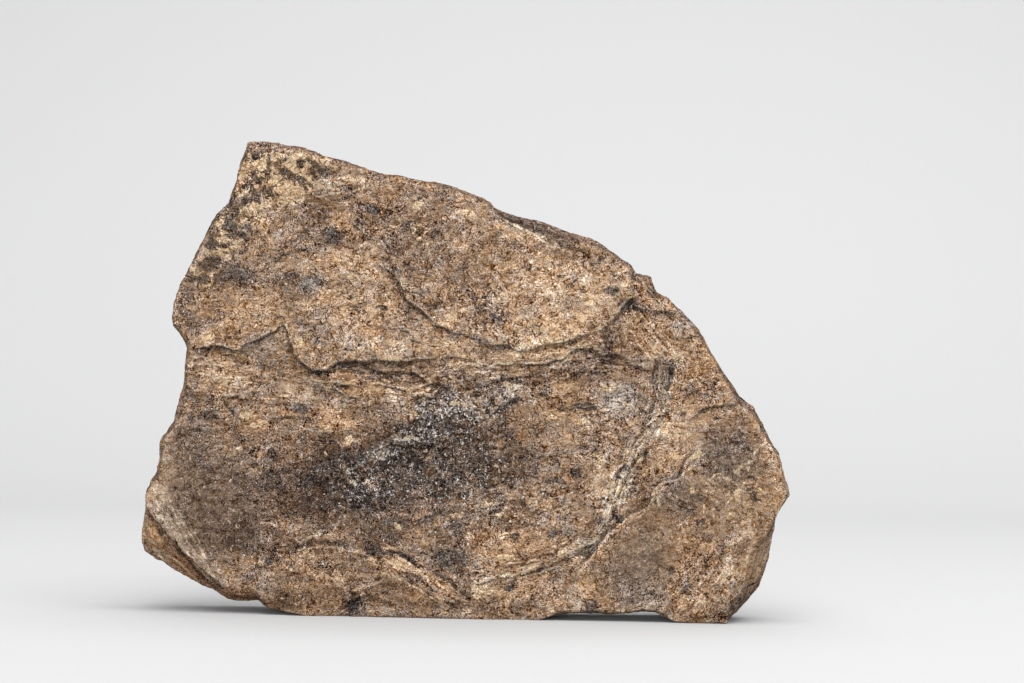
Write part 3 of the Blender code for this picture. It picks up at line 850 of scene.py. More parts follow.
# %% Where iron, grey film and crust lie
IRON_ZONES = (  # x, z, half width, half height, turn in degrees, how much more iron
    (40, 178, 36, 26, -15, 0.3), (-72, 107, 10, 6, 0, 1.0), (-53, 124, 14, 5, -5, 0.7),
    (-80, 112, 8, 6, 0, 0.5), (-23, 121, 4, 3, 0, 1.2), (-68, 131, 8, 3, 0, 0.8),
    (24, 38, 24, 12, 0, 0.6), (10, 46, 10, 6, 0, 0.5), (3, 46, 3, 3, 0, 1.0),
    (-33, 28, 14, 4, -20, 0.6), (28, 16, 12, 8, 0, 0.4), (67, 19, 5, 6, 0, 0.8),
    (125, 26, 17, 20, 0, 0.45), (125, 43, 9, 4, 0, 0.4), (120, 150, 18, 14, 0, 0.55),
    (125, 132, 20, 12, 0, 0.45), (112, 104, 13, 18, -25, 0.2), (100, 155, 10, 10, 0, 0.4),
    (-120, 166, 14, 8, 0, 0.45), (-137, 131, 16, 9, 0, 0.2), (-115, 104, 8, 4, 0, 0.8),
    (-108, 237, 20, 13, 0, 0.35), (-70, 214, 5, 7, 30, 0.9), (-62, 178, 22, 22, 0, 0.2),
    (-84, 26, 18, 12, 0, 0.3), (-45, 176, 5, 4, 0, 0.8), (45, 118, 24, 12, 0, 0.15),
    (-30, 47, 8, 4, 20, 0.4), (97, 68, 6, 6, 0, 0.3), (-137, 214, 3, 3, 0, 0.4),
    # paler or greyer, with less iron
    (-10, 88, 48, 26, 0, -0.3), (-60, 68, 40, 18, 0, -0.3), (-135, 60, 28, 30, 0, -0.85),
    (-150, 92, 14, 14, 0, -0.5), (144, 92, 22, 16, 10, -0.6), (95, 25, 16, 22, 0, -0.7),
    (118, 69, 12, 12, 0, -0.65), (152, 10, 12, 8, 0, -0.5), (-12, 33, 14, 7, 0, -0.5),
    (-88, 181, 7, 4, 0, -0.9), (-126, 186, 14, 9, 0, -0.25), (-25, 203, 22, 14, -20, -0.25),
    (80, 121, 11, 9, 0, -0.7), (105, 135, 6, 12, 0, -0.6), (78, 147, 14, 8, 0, -0.35),
    (-142, 205, 10, 26, -30, -0.4), (-157, 178, 6, 16, -20, -0.3), (-55, 138, 16, 3, 0, -0.5),
    (30, 215, 16, 4, -22, -0.5), (-166, 76, 6, 18, -10, -0.2), (-20, 118, 22, 8, 0, -0.6),
    (-110, 146, 12, 9, 0, -0.3), (100, 110, 4, 18, 15, -0.4),
    (-122, 225, 7, 6, 0, -0.4), (-70, 248, 9, 4, 0, -0.3), (-12, 233, 14, 5, 0, -0.3),
    (-150, 157, 8, 5, 0, -0.4), (55, 180, 9, 13, 0, -0.25), (-140, 103, 10, 5, 0, -0.4),
    (-90, 115, 6, 5, 0, -0.3), (-38, 48, 9, 6, 0, -0.6), (20, 122, 12, 6, 0, -0.25),
    (54, 86, 9, 8, 0, -0.3), (115, 50, 16, 6, 10, -0.3), (40, 10, 6, 5, 0, -0.4),
    # browner, with more
    (15, 163, 10, 9, 0, 0.6), (38, 148, 14, 6, 15, 0.6), (88, 153, 9, 8, 0, 0.7),
    (-127, 153, 8, 8, 0, 0.6), (-25, 122, 9, 6, 0, 0.7), (-52, 79, 10, 9, 0, 0.6),
    (-42, 172, 5, 9, 0, 0.4), (20, 205, 8, 5, 0, 0.3), (-147, 195, 5, 6, 0, 0.3),
    (57, 131, 8, 8, 0, 0.4), (75, 108, 12, 10, 0, 0.4), (135, 118, 6, 5, 0, 0.3),
    (108, 80, 7, 5, 0, 0.3), (24, 57, 7, 5, 0, 0.5), (85, 55, 7, 4, 30, 0.4),
    (-18, 27, 8, 5, 0, 0.5), (45, 28, 8, 5, 30, 0.3), (-125, 8, 10, 5, 0, 0.5),
    (-108, 97, 10, 10, 0, 0.25),
)
FILM_ZONES = (  # the same, with how much grey film
    (82, 121, 12, 9, 0, 0.6), (116, 162, 7, 5, 0, 0.6), (-33, 223, 9, 6, 0, 0.2),
    (32, 168, 6, 4, 0, 0.6), (55, 49, 6, 3, 0, 0.5), (-48, 90, 10, 5, 5, 0.3),
    (-88, 181, 8, 5, 0, 0.5), (-114, 148, 10, 7, 20, 0.25), (125, 92, 6, 4, 30, 0.6),
    (94, 16, 8, 8, 0, 0.3), (142, 90, 16, 10, 10, 0.1),
)
iron = (zone_sum(torn, IRON_ZONES) + band_iron) * facing_front + 0.35 * cloud(points, 22, 4, 47.0)
keep("iron", iron + facing_back * cloud(points, 46, 4, 49.0))
film_behind = facing_back * np.clip(1.6 * cloud(points, 34, 4, 53.0) - 0.3, 0, 0.7)
keep("film", np.clip(zone_sum(torn, FILM_ZONES), 0, 1) * facing_front + film_behind)
crust_behind = facing_back * np.clip(1.6 * cloud(points, 44, 3, 57.0) - 0.5, 0, 0.8)
keep("crust", crusted * facing_front + crust_behind)

# %% Single spots
SPOTS = (  # x, z, half width, half height, turn, 1 for pale or -1 for dark
    # in the crust at the upper left
    (-115, 232, 6, 2.5, 0, -1), (-119, 237, 3.5, 2.6, 0, -1), (-123, 226, 4, 2, -10, -1),
    (-114, 241.5, 2.2, 2, 0, -1), (-107, 247, 5, 1.6, -14, -0.9), (-97, 240, 5, 2.2, -20, -1),
    (-92, 236, 5, 2.0, -15, -1), (-96, 231.5, 4, 1.3, 20, -0.9), (-109, 228.5, 2.6, 1.6, 0, -1),
    (-103, 243.5, 3, 1.8, 20, -1),
    (-88, 248, 7, 1.3, -25, -0.9), (-83, 243, 4, 1.8, -20, -1), (-132, 212, 5, 5, -30, -1),
    (-127, 206, 4, 3, 0, -1), (-143, 192, 6, 4.5, 20, -1), (-148, 183, 4, 3, 30, -1),
    (-143, 202, 4, 1.5, 10, -1), (-126, 188, 6, 4, 0, -0.7), (-133, 226, 3, 6, -30, -0.8),
    (-76, 208, 6, 4, -10, -1), (-62, 216, 2.5, 3, 0, -0.7), (-55, 222, 4, 4, 0, -0.8),
    (-108, 251, 6, 2.2, -8, 1), (-118, 246, 4, 2.6, 30, 1), (-125, 241, 5, 2.6, 40, 1),
    (-112, 236, 5, 1.4, 0, 1), (-120, 222, 5, 2.2, 10, 1), (-105, 227.5, 5, 1.8, 10, 1.2),
    (-97, 228.5, 4, 1.8, 0, 1.2), (-137, 214, 3, 3, 0, 1.2), (-132, 204.5, 9, 1.2, 5, 1),
    (-138, 198.5, 8, 1.2, 15, 1), (-127, 230, 3, 1.4, 0, 1), (-112, 225, 4, 2.2, 30, 1),
    (-100, 246, 4, 2.2, 0, 1), (-94, 251, 4, 1.6, -10, 1), (-101, 235.5, 6, 1.6, 10, 1),
    (-92, 243, 3, 1.8, 0, 1), (-117, 215, 3, 4, 0, 0.8), (-30, 226, 3, 5, 0, 0.9),
    (-4, 222, 5, 1.8, 10, 0.9), (-80, 250, 3, 1.4, 0, 0.9),
    # dark ones elsewhere
    (-50, 38, 4, 2.8, 0, -1), (-20, 108, 5, 2.2, 0, -1), (-34, 100, 4.5, 2.2, 10, -1),
    (-12, 103, 6, 2.4, 0, -1), (21, 118, 8, 2.4, 35, -1), (-92, 113, 4, 2.6, 0, -0.9),
    (-105, 73, 5, 4, 0, -0.8), (113, 29, 3.2, 2.4, 0, -0.6), (131, 33, 2.6, 4.5, 0, -0.6),
    (121, 20, 3.5, 4.5, 0, -0.5), (69, 7, 3.4, 4, 0, -0.6), (64, 118, 5, 1.6, 0, -1),
    (110, 137, 2.6, 4.5, 0, -0.4), (85, 174, 4, 2.6, 0, -1.3), (77, 181, 4.4, 2.4, 0, -0.9),
    (24, 18, 3, 2.4, 0, -0.6), (26, 46, 3, 2.2, 0, -0.9), (48, 47, 4, 2.2, 20, -0.9),
    (86, 84, 2, 1.6, 0, -1.3), (84, 57, 1.8, 2.6, 0, -1.2), (60, 80, 3, 2.4, 0, -0.8),
    (-129, 112, 2, 1.8, 0, -1), (-83, 151.5, 1.1, 3, 10, -1), (-47.5, 169, 2.6, 1.6, 20, -0.9),
    (117, 113, 1.4, 3, -30, -0.9), (122, 120, 2, 2, 0, -0.8), (130, 125, 2.4, 1.4, 0, -0.9),
    (10, 73, 6, 1.8, 0, -1), (50, 77, 3, 2.2, 0, -0.9), (66, 39, 2.6, 4, -30, -1.2),
    (-8, 33, 11, 5, 0, -0.8), (97, 68, 4, 3.4, 50, -0.4), (-60, 87, 3, 2.6, 0, -1),
    (-78, 80, 5, 4, 0, -0.9), (-74, 95, 2.4, 1.6, 0, -1), (-62, 4, 3, 4, -20, -1.2),
    (-105, 181.5, 2.6, 1.4, 0, -0.9), (61, 181, 1.6, 1.6, 0, -0.8), (8, 176, 3, 1, 10, -1),
    (5, 168, 1.4, 2, 0, -1), (13, 165, 3, 1, -35, -1), (-177, 36, 2.6, 3, 0, -0.7),
    (-107, 30, 2.6, 2.4, 0, -0.8), (70, 198, 2.6, 1.6, 0, -0.7), (-141, 107, 2.4, 2, 0, -0.9),
    (-152, 108, 2, 2.4, 0, -0.8), (128, 56, 3, 1.6, 0, -0.7), (141, 94, 3, 3, 0, -0.6),
    (30, 88, 4, 1.4, 10, -0.8), (-2, 76, 3, 1.6, 0, -0.8), (-26, 96, 3, 1.4, 0, -0.8),
    # pale ones elsewhere
    (76, 128, 5, 1.8, 20, 0.7), (84, 120, 6, 2, -15, 0.4), (9, 16, 6, 4.5, 20, 0.9),
    (-37, 29, 3, 1.8, 0, 1.1), (3, 46, 1.8, 1.5, 0, 1.1), (18, 57, 3, 1.2, 10, 1),
    (37, 64, 2.6, 2.6, 0, 1.1), (-55, 74, 1.6, 1, -30, 1.1), (-38, 50, 2.4, 1.4, -20, 1.1),
    (-28, 112, 5, 1.2, 10, 1), (-5, 117, 5, 1.2, 0, 1), (22, 126, 1.4, 4.5, 30, 1.2),
    (-5, 56, 4, 1.6, 0, 1), (-142, 152, 2.4, 2.2, 0, 1.2), (113, 144, 3, 1.6, 0, 1.1),
    (72, 88, 3.4, 3.4, 0, 0.7), (125, 92, 4, 1.6, 30, 1.1), (18, 178, 3.4, 1, -10, 1),
    (25, 173, 1.4, 1.4, 0, 1), (12, 160, 2, 0.9, 0, 1), (-10, 165, 4, 2.4, 0, 0.8),
    (-45, 176, 2.6, 2.6, 0, 0.7), (-23, 121, 3, 2, 0, 0.9), (-72, 107, 4, 2.4, 0, 0.6),
    (-122, 109, 3.4, 2.4, 0, 1), (-115, 104, 5, 1.6, 15, 0.9), (-125, 91, 2.2, 1.6, 0, 0.9),
    (124, 73, 2.6, 2, 0, 0.8), (10, 62.5, 5, 1, 5, 1), (20, 46, 3, 2, 0, 0.9),
    (21, 34, 4, 1.6, -10, 0.9), (84, 184, 1.6, 1.4, 0, 1.1), (-65, 96, 2.6, 3, 0, 0.7),
    (-41, 141.4, 5, 0.9, -2, 1.1), (161, 29, 1.1, 1.6, -20, 1.2), (53, 145, 1.2, 3, -20, 1.1),
    (-93, 150, 2, 3, 10, 0.8),
)
keep("spots", zone_sum(ragged(points, places, 0.6, 0.8), SPOTS) * facing_front)

# %% Where calcite specks lie, and where the rim is
SPECK_ZONES = (  # x, z, half width, half height, turn in degrees, how many specks
    (0, 116, 22, 8, 0, 1.0), (-22, 114, 10, 8, 0, 0.9), (-45, 90, 10, 6, 0, 0.8),
    (-8, 86, 36, 28, 0, 0.55), (23, 127, 8, 5, 50, 1.0), (34, 122, 12, 5, 0, 0.7),
    (-57, 74, 14, 14, 0, 0.7), (-30, 100, 12, 6, 0, 0.7), (-75, 25, 22, 10, 0, 0.35),
    (82, 120, 10, 10, 0, 0.6), (84, 66, 12, 16, -20, 0.4), (40, 175, 40, 24, -15, 0.25),
    (-60, 175, 40, 24, 0, 0.15), (30, 60, 40, 16, 20, 0.35),
)
keep("specks", np.clip(zone_sum(torn, SPECK_ZONES), 0, 1) * facing_front)
on_rim = smooth((np.linalg.norm(normals * (1, 0, 1), axis=1) - 0.55) / 0.35)
keep("rim", on_rim * (1 - 0.75 * facing_front))

# %% [markdown]
# ## Cracks and veins
#
# These are thinner than the mesh's triangles, so a stain painted on points would blur them. Instead
# each point keeps its distance to the nearest line, in half widths of that line. The distance
# varies evenly across a triangle, and the material turns it into a crisp line. A second number says
# how strong the line is there, and fades to nothing away from it. The dark lines also hold painted
# shadow at the foot of each ledge and painted shade in the grooves beside the rib, and the pale
# lines hold painted light on each ledge's lip.

# %% Dark cracks, and painted shade under ledges and beside the rib
CRACKS = (  # points, half width, strength
    (((-63, 227), (-61, 220), (-58.3, 214.3), (-51.4, 210.2)), 0.75, 1),
    (((-51.4, 210.2), (-46.5, 204), (-45, 200.4), (-45.3, 194.2), (-37.5, 188)), 0.9, 1),
    (((-108.3, 192.1), (-102.8, 197), (-91.7, 201.8), (-80.6, 203.2)), 0.55, 0.8),
    (((-77.8, 156), (-78.5, 153.2), (-76.4, 150)), 0.6, 0.9),
    (((-47.2, 92.1), (-41.7, 94.9), (-30.6, 97), (-20.8, 97.7)), 0.6, 0.95),
    (((64, 112.9), (70.8, 112.9), (73.6, 108.8)), 0.6, 0.95),
    (((64, 101.8), (69.4, 100.4), (70.8, 97.7), (75, 99)), 0.6, 0.95),
    (((-27.8, 51.9), (-19.4, 56), (-13.9, 56.7)), 0.6, 0.9),
    (((104.9, 74.3), (102.7, 68.5), (103.5, 64.1)), 0.8, 0.9),
    (((-103, 187), (-99, 187.3), (-95, 187.6)), 0.55, 1),
    (((-110, 186), (-101, 185.3), (-92, 185)), 0.55, 0.75),
    (((-49, 168), (-47, 163), (-45, 160)), 0.55, 0.85), (((-51, 181.6), (-47, 180.8)), 0.57, 0.95),
    (((-38, 157), (-33, 156)), 0.55, 0.95), (((-33, 153), (-29, 150.5), (-25, 149.5)), 0.55, 0.95),
    (((-76, 145), (-70, 145.5), (-68, 146.2), (-66, 145.5), (-60, 146)), 0.55, 0.75),
    (((4, 171), (9, 173), (11, 174)), 0.8, 1), (((11, 168), (13, 166), (17, 163.3)), 0.8, 1),
    (((5, 163), (8, 161), (9, 158)), 0.69, 1), (((15, 170), (17, 167), (16, 163)), 0.55, 0.85),
    (((82, 159), (83, 152), (83, 146)), 0.55, 0.85), (((60, 149.4), (68, 149)), 0.57, 0.95),
    (((89, 163), (95, 165)), 0.55, 0.85), (((78, 108), (79.5, 106), (79, 103)), 0.69, 0.95),
    (((58, 117), (63, 116.2), (68, 117.5), (70, 119)), 0.8, 1),
    (((60, 111), (63, 112.5), (66, 110.5), (68, 113)), 0.55, 0.95),
    (((96, 182), (100, 178), (104, 174)), 0.55, 0.85), (((134, 112), (139, 112.5)), 0.8, 1),
    (((21, 78), (24.5, 77.4)), 0.69, 1), (((-114, 35), (-114.6, 27), (-114, 18)), 0.55, 0.75),
    (((-60, 68), (-57, 66), (-53, 62)), 0.69, 1), (((-66, 84), (-62, 86), (-57, 85)), 0.92, 1),
    (((-34, 178.5), (-30, 178), (-25, 176)), 0.55, 0.85), (((6, 158), (6.5, 155), (8, 152)), 0.55, 0.75),
    (((-3, 168), (-1, 164), (-0.5, 155)), 0.55, 0.65), (((154, 19), (158, 21.4), (163, 22.2)), 0.75, 1),
    (((171, 57), (165, 50), (152, 42), (148, 32)), 0.55, 0.75),
    (((2, 11.5), (-5, 16.8), (-12, 22.2), (-20, 25.5), (-28, 30)), 0.75, 0.95),
    (((-28, 29.5), (-33, 32.4), (-38, 34.6), (-46, 34.3)), 0.7, 0.9),
    (((-62, 38), (-70, 39), (-78, 39.6), (-87, 38.6)), 0.7, 0.5),
    (((-64, 2), (-61, 6), (-57, 11)), 1.49, 1), (((-68, 3), (-64, 9)), 0.8, 0.95),
    (((-176, 58), (-168, 47.5), (-158, 36), (-147, 22), (-138, 15.5), (-128, 13.3)), 0.6, 0.9),
    (((99, 93.5), (97.3, 91), (97.6, 87.5)), 0.92, 1), (((83, 84), (87, 85)), 1.15, 1),
    (((81, 79.5), (85, 78.6)), 1.15, 1), (((80, 62), (82, 57), (83, 53)), 1.03, 1),
    (((-158, 157), (-163, 158)), 0.8, 0.95), (((-130, 110), (-128, 109.4)), 1.03, 1),
    (((110, 145), (111, 139), (110, 133), (107.5, 127)), 1.38, 0.85),
    (((103, 144), (101.5, 138), (100.5, 131)), 1.15, 0.75),
    (((12, 124), (14, 118), (20, 117), (25, 119)), 1.15, 0.95), (((75, 57), (70, 52)), 0.8, 0.95),
    (((66, 3), (65.5, 11), (71.5, 11), (72, 3)), 0.57, 0.75), (((88, 141), (95, 139)), 0.92, 0.95),
)
# painted shade in the grooves beside the rib
RIB_SIDES = ((-2.6, 0.5, 0.45), (2.7, 0.5, 0.25))  # mm to the left, half width, strength
FAR_AWAY = 9.0  # half widths, for points that are near no line


def keep_lines(name, lines):
    """Keeps the distance to the nearest line, in half widths, and the strength there."""
    distance, strength = np.full(count, FAR_AWAY), np.zeros(count)
    for corners, offset, half, amount in lines:
        near, left, along = beside(wavy, drawn(corners), abs(offset) + 4 * half + 1)
        shift = (left - offset) / half
        here = amount * smooth(1.6 - np.abs(shift) / 2.5) * fade_at_ends(along, 1 / 9)
        here *= facing_front[near] * np.clip(0.9 + 1.2 * cloud(points[near], 7, 3, 61.0), 0.2, 1)
        nearer = np.abs(shift) < np.abs(distance[near])
        distance[near[nearer]] = shift[nearer]
        strength[near[nearer]] = here[nearer]
    keep(name, np.stack((distance, strength, distance * 0), axis=1), "FLOAT_VECTOR")


dark = [(corners, 0.0, half, amount) for corners, half, amount in CRACKS]
# painted shadow at the foot of each ledge, just under its lip
dark += [(line, -0.6 * slope, 0.55, min(0.85, 0.3 + drop / 3.0)) for line, drop, slope, _ in LEDGES]
# painted shade in the grooves beside the rib
dark += [(RIB, *side) for side in RIB_SIDES]
keep_lines("cracks_and_painted_shade", dark)

# %% Pale veins, and painted light on the lips of ledges
VEINS = (  # points, half width, strength
    (((-25, 42), (-19, 48), (-14, 56)), 0.6, 0.8),
    (((106.5, 74.5), (104.5, 68), (105, 63.5)), 0.6, 0.7),
    (((66, 157.5), (72, 162.5), (78, 168.5), (84, 175.5), (87, 182)), 0.66, 1),
    (((47, 137), (50, 140), (52, 142), (54, 145), (55, 148), (58, 150), (62, 151.5)), 0.77, 1),
    (((14, 221), (18, 218), (25, 215), (30, 212.5), (38, 210), (45, 207), (52, 202), (54, 198)),
     0.6, 0.8),
    (((93, 187), (98, 182), (103, 176), (108, 172)), 0.55, 0.8),
    (((83, 183), (86, 182.4), (89, 180)), 0.66, 0.9),
    (((110, 144), (114, 146.5), (117, 145), (116, 141.5)), 0.55, 1),
    (((100, 147), (102, 152), (106, 158)), 0.55, 0.8), (((113, 135), (112, 133), (111, 131)), 0.55, 1),
    (((105, 108), (110, 109), (120, 110)), 0.55, 0.7), (((163, 100), (158, 96), (157, 92)), 0.66, 0.9),
    (((156, 90), (150, 86), (146, 82)), 0.77, 1), (((150, 85), (146, 80)), 0.55, 0.7),
    (((164, 31), (167, 39), (169.5, 46)), 1.1, 1), (((-85, 50), (-80, 46)), 0.55, 0.6),
    (((-92, 38), (-86, 43), (-80, 45), (-70, 45)), 0.55, 0.7),
    (((-60, 147), (-57, 145.5), (-55, 144)), 0.66, 1),
    (((-55, 144), (-53, 146), (-51, 148)), 0.55, 0.8), (((-85, 126), (-85, 119)), 0.55, 0.6),
    (((-54, 72), (-54, 75.5)), 0.55, 1), (((-38.5, 50), (-36, 47)), 0.66, 1),
    (((37, 64), (40, 68.5)), 0.66, 0.9),
    (((-180, 42), (-175, 40), (-172, 36), (-169, 30), (-166, 26)), 0.95, 1),
    (((-168, 35), (-164, 30), (-158, 26), (-152, 20), (-147, 15)), 0.7, 0.9),
    (((12, 173.5), (12, 178)), 0.55, 1),
    (((17.5, 175), (19, 176)), 0.66, 0.9), (((24.5, 173.5), (27, 170.3)), 0.55, 0.9),
    (((29, 184), (31, 181.5)), 0.55, 0.9), (((13, 161), (16, 158)), 0.55, 0.9),
    (((69, 164), (70, 166)), 0.66, 1),
    (((70, 160), (73, 162), (77, 164)), 0.55, 0.8),
    (((64, 26), (72, 27.5), (79, 25), (80, 16), (79, 7)), 0.55, 0.6),
    (((92, 112), (95, 115)), 0.55, 0.9), (((77, 128), (82, 126)), 0.66, 0.9),
    (((81.5, 118), (82.5, 115)), 0.77, 0.9),
    (((-50, 25), (-40, 23), (-25, 16), (-12, 8)), 0.55, 0.7),
    (((-88, 229), (-74, 232), (-60, 235), (-46, 239)), 0.88, 0.6),
    (((-78, 186), (-77, 187)), 0.66, 0.8), (((-67, 180.5), (-66, 181.5)), 0.66, 0.8),
    (((-143, 152), (-139, 152.4)), 0.77, 0.9),
    (((76, 77), (79, 73), (78, 68)), 0.55, 0.8), (((84, 75), (87, 70), (85, 65)), 0.55, 0.7),
    (((46, 58), (54, 62), (60, 64)), 0.55, 0.7), (((-47, 87), (-46, 91)), 0.66, 0.9),
    (((-36, 98), (-30, 100)), 0.66, 0.8),
    (((103, 187), (98, 192)), 0.55, 0.6), (((-24, 112), (-18, 117)), 0.66, 0.7),
    (((60, 31), (50, 27), (40, 26)), 0.55, 0.7),
)
RIB_EDGES = ((-1.3, 0.5, 0.6), (1.2, 0.5, 0.6), (4.0, 0.5, 0.4))

pale = [(corners, 0.0, half, amount) for corners, half, amount in VEINS]
# painted light on each ledge's lip, just above its edge
pale += [(line, 0.5, 0.5, min(0.5, 0.2 + drop / 8)) for line, drop, _, _ in LEDGES]
pale += [(RIB, *side) for side in RIB_EDGES]
keep_lines("veins_and_lit_lips", pale)

# %% [markdown]
# ## Beds and streaks
#
# Risers between thin beds throw lines of shade that are finer than the mesh can hold. The level
# that the carving stepped is kept, and the material finds its whole numbers again. Streaks need to
# know how far across and along its band a point is, because noise drawn out in straight space would
# cut across a band that bends.

# %% Which thin bed each place is on
in_patches = np.clip(0.25 + 1.1 * cloud(points, 24, 2, 71.0), 0, 1)
where_rough = np.clip(0.6 + roughness, 0.1, 1)
risers = in_patches * where_rough * facing_front + facing_back
level = np.where(points[:, 1] < 0, bed_level(points), back_level(points))
keep("bed", np.column_stack((level, risers, risers * 0)), "FLOAT_VECTOR")

# %% Where streaks run
flow, weight = np.zeros((count, 2)), np.zeros(count)
for near, left, run, here in each_fibrous_band(wavy):
    here *= facing_front[near]
    stronger = here > weight[near]
    chosen = near[stronger]
    flow[chosen] = np.stack((left, run), axis=1)[stronger]
    weight[chosen] = here[stronger]
keep("flow", np.column_stack((flow, weight)), "FLOAT_VECTOR")

# %% [markdown]
# ## The stone's material
#
# The stone is fine-grained sandstone, rich in clay and stained by iron. It was split, so the face
# shows bare grain: no polish, a broad dull sheen at most, and colour that changes from grain to
# grain. One material covers the whole slab, because the real one is one stone. The attributes steer
# it, and noise in real sizes adds what is finer than the mesh.

# %% Helpers for the material
def paint(code):
    """An sRGB hex colour as linear red, green, blue and alpha."""
    parts = [int(code[place:place + 2], 16) / 255 for place in (1, 3, 5)]
    return [p / 12.92 if p <= 0.04045 else ((p + 0.055) / 1.055) ** 2.4 for p in parts] + [1.0]


def add_node(tree, kind, inputs=None, **settings):
    """A node with its settings. Its inputs are numbers, colours, outputs, or nodes, for their result."""
    node = tree.nodes.new("ShaderNode" + kind)
    for name, value in settings.items():
        setattr(node, name, value)
    for key, value in (inputs or {}).items():
        if isinstance(value, bpy.types.Node):
            value = next(output for output in value.outputs if output.enabled)
        if isinstance(value, bpy.types.NodeSocket):
            tree.links.new(value, node.inputs[key])
        else:
            node.inputs[key].default_value = value
    return node


# %% The empty material, and what it reads
NUMBERS = ("tone", "iron", "film", "crust", "spots", "specks", "busy", "rim", "hollow")
TRIPLES = ("cracks_and_painted_shade", "veins_and_lit_lips", "flow", "bed")

sandstone = bpy.data.materials.new("split_sandstone")
sandstone.use_nodes = True
tree = sandstone.node_tree
tree.nodes.clear()
place = add_node(tree, "TexCoord").outputs["Object"]
known = {}
for name in NUMBERS + TRIPLES:
    attribute = add_node(tree, "Attribute", attribute_name=name)
    known[name] = attribute.outputs["Fac" if name in NUMBERS else "Vector"]
print("material", sandstone.name, "reads", len(known), "attributes")

# %% [markdown]
# ### Flakes
#
# Split stone breaks into small flakes, a few millimetres wide, each lying a little differently. A
# Voronoi texture gives every flake its own shade and its own tilt, which noise can't. Its cells are
# warped by noise, because a flake's edge is ragged, and along some edges there is a thin open crack.

# %% Flakes
FLAKE_MM = 4.6
WARP_MM, WARP_WIDE_MM = 3.6, 3.2  # how far noise moves a flake's edge, and over what length
FLAKE_SLOPE = 0.55
EDGE_GAP = 0.07  # of a flake, open along its edge

warp = add_node(tree, "TexNoise", {
    "Vector": place, "Scale": 1 / (WARP_WIDE_MM * MM), "Detail": 3.0, "Roughness": 0.6,
})
warped = add_node(tree, "VectorMath", {
    0: warp.outputs["Color"], 1: (WARP_MM * MM,) * 3, 2: place,
}, operation="MULTIPLY_ADD")
flakes = add_node(tree, "TexVoronoi", {"Vector": warped, "Scale": 1 / (FLAKE_MM * MM)})
flake_gaps = add_node(tree, "TexVoronoi", {
    "Vector": warped, "Scale": 1 / (FLAKE_MM * MM),
}, feature="DISTANCE_TO_EDGE")
print("flakes, mm:", FLAKE_MM)

# %% Each flake's tilt, shade and open edge
from_middle = add_node(tree, "VectorMath", {
    0: warped, 1: flakes.outputs["Position"],
}, operation="SUBTRACT")
leaning = add_node(tree, "VectorMath", {
    0: flakes.outputs["Color"], 1: (0.5, 0.5, 0.5),
}, operation="SUBTRACT")
tilted = add_node(tree, "VectorMath", {0: from_middle, 1: leaning}, operation="DOT_PRODUCT")
tilted = tilted.outputs["Value"]
flake_shade = add_node(tree, "SeparateXYZ", {"Vector": flakes.outputs["Color"]})
open_edge = add_node(tree, "MapRange", {
    "Value": flake_gaps.outputs["Distance"], "From Max": EDGE_GAP, "To Min": 1, "To Max": 0,
})
gap_here = add_node(tree, "MapRange", {"Value": warp, "From Min": 0.5, "From Max": 0.58})
open_edge = add_node(tree, "Math", {0: open_edge, 1: gap_here}, operation="MULTIPLY")
print(len(tree.nodes), "nodes so far")

# %% [markdown]
# ### Grain
#
# Sand grains here are 0.1 to 0.3 mm, too fine to show one by one, so the finest noise is drawn
# coarser, at 0.6 mm. Grains cling together in clumps about 2 mm wide. Wisps of clay lie along the
# bedding, 3 to 4 mm long and less than half as thick. In the fibrous bands the noise is read by
# the distance across the band and along it, so its fibres follow every bend.

# %% Grain, clumps, wisps and fibres
GRAIN_MM, CLUMP_MM, WISP_MM, FIBRE_MM = 0.6, 2.3, 3.6, 1.6
WISP_LEAN = math.radians(24)  # of the wisps from level
WISP_FLATNESS = 2.6
FIBRE_THIN = 0.17  # a fibre's width as a share of its length

grain = add_node(tree, "TexNoise", {
    "Vector": place, "Scale": 1 / (GRAIN_MM * MM), "Detail": 1.5, "Roughness": 0.6,
})
clumps = add_node(tree, "TexNoise", {
    "Vector": place, "Scale": 1 / (CLUMP_MM * MM), "Detail": 3.0, "Roughness": 0.65, "Distortion": 0.5,
})
lie = add_node(tree, "Mapping", {
    "Vector": place, "Rotation": (0, WISP_LEAN, 0), "Scale": (1, 1, WISP_FLATNESS),
})
wisps = add_node(tree, "TexNoise", {
    "Vector": lie, "Scale": 1 / (WISP_MM * MM), "Detail": 4.0, "Roughness": 0.68, "Distortion": 1.2,
})
flow_facts = add_node(tree, "SeparateXYZ", {"Vector": known["flow"]})
lengthwise = add_node(tree, "Math", {0: flow_facts.outputs[1], 1: FIBRE_THIN}, operation="MULTIPLY")
drawn_out = add_node(tree, "CombineXYZ", {0: flow_facts.outputs[0], 1: lengthwise})  # in mm already
fibres = add_node(tree, "TexNoise", {
    "Vector": drawn_out, "Scale": 1 / FIBRE_MM, "Detail": 3.0, "Roughness": 0.6, "Distortion": 0.4,
})
fibrous = flow_facts.outputs[2]
print("grain, clumps, wisps and fibres, mm:", GRAIN_MM, CLUMP_MM, WISP_MM, FIBRE_MM)

# %% [markdown]
# ### Thin lines
#
# Thin dark crevices run between wisps and fibres, and creases and hairlines run across the beds;
# the dark in them is painted shade.
# They are drawn where a noise crosses its middle value, because that line wanders, forks and closes
# on itself like a crevice. The edges of Voronoi cells would make a net of straight pieces instead.

# %% Crevices
WISP_CREVICE, FIBRE_CREVICE = 0.022, 0.03  # how far from its middle value a noise still draws them


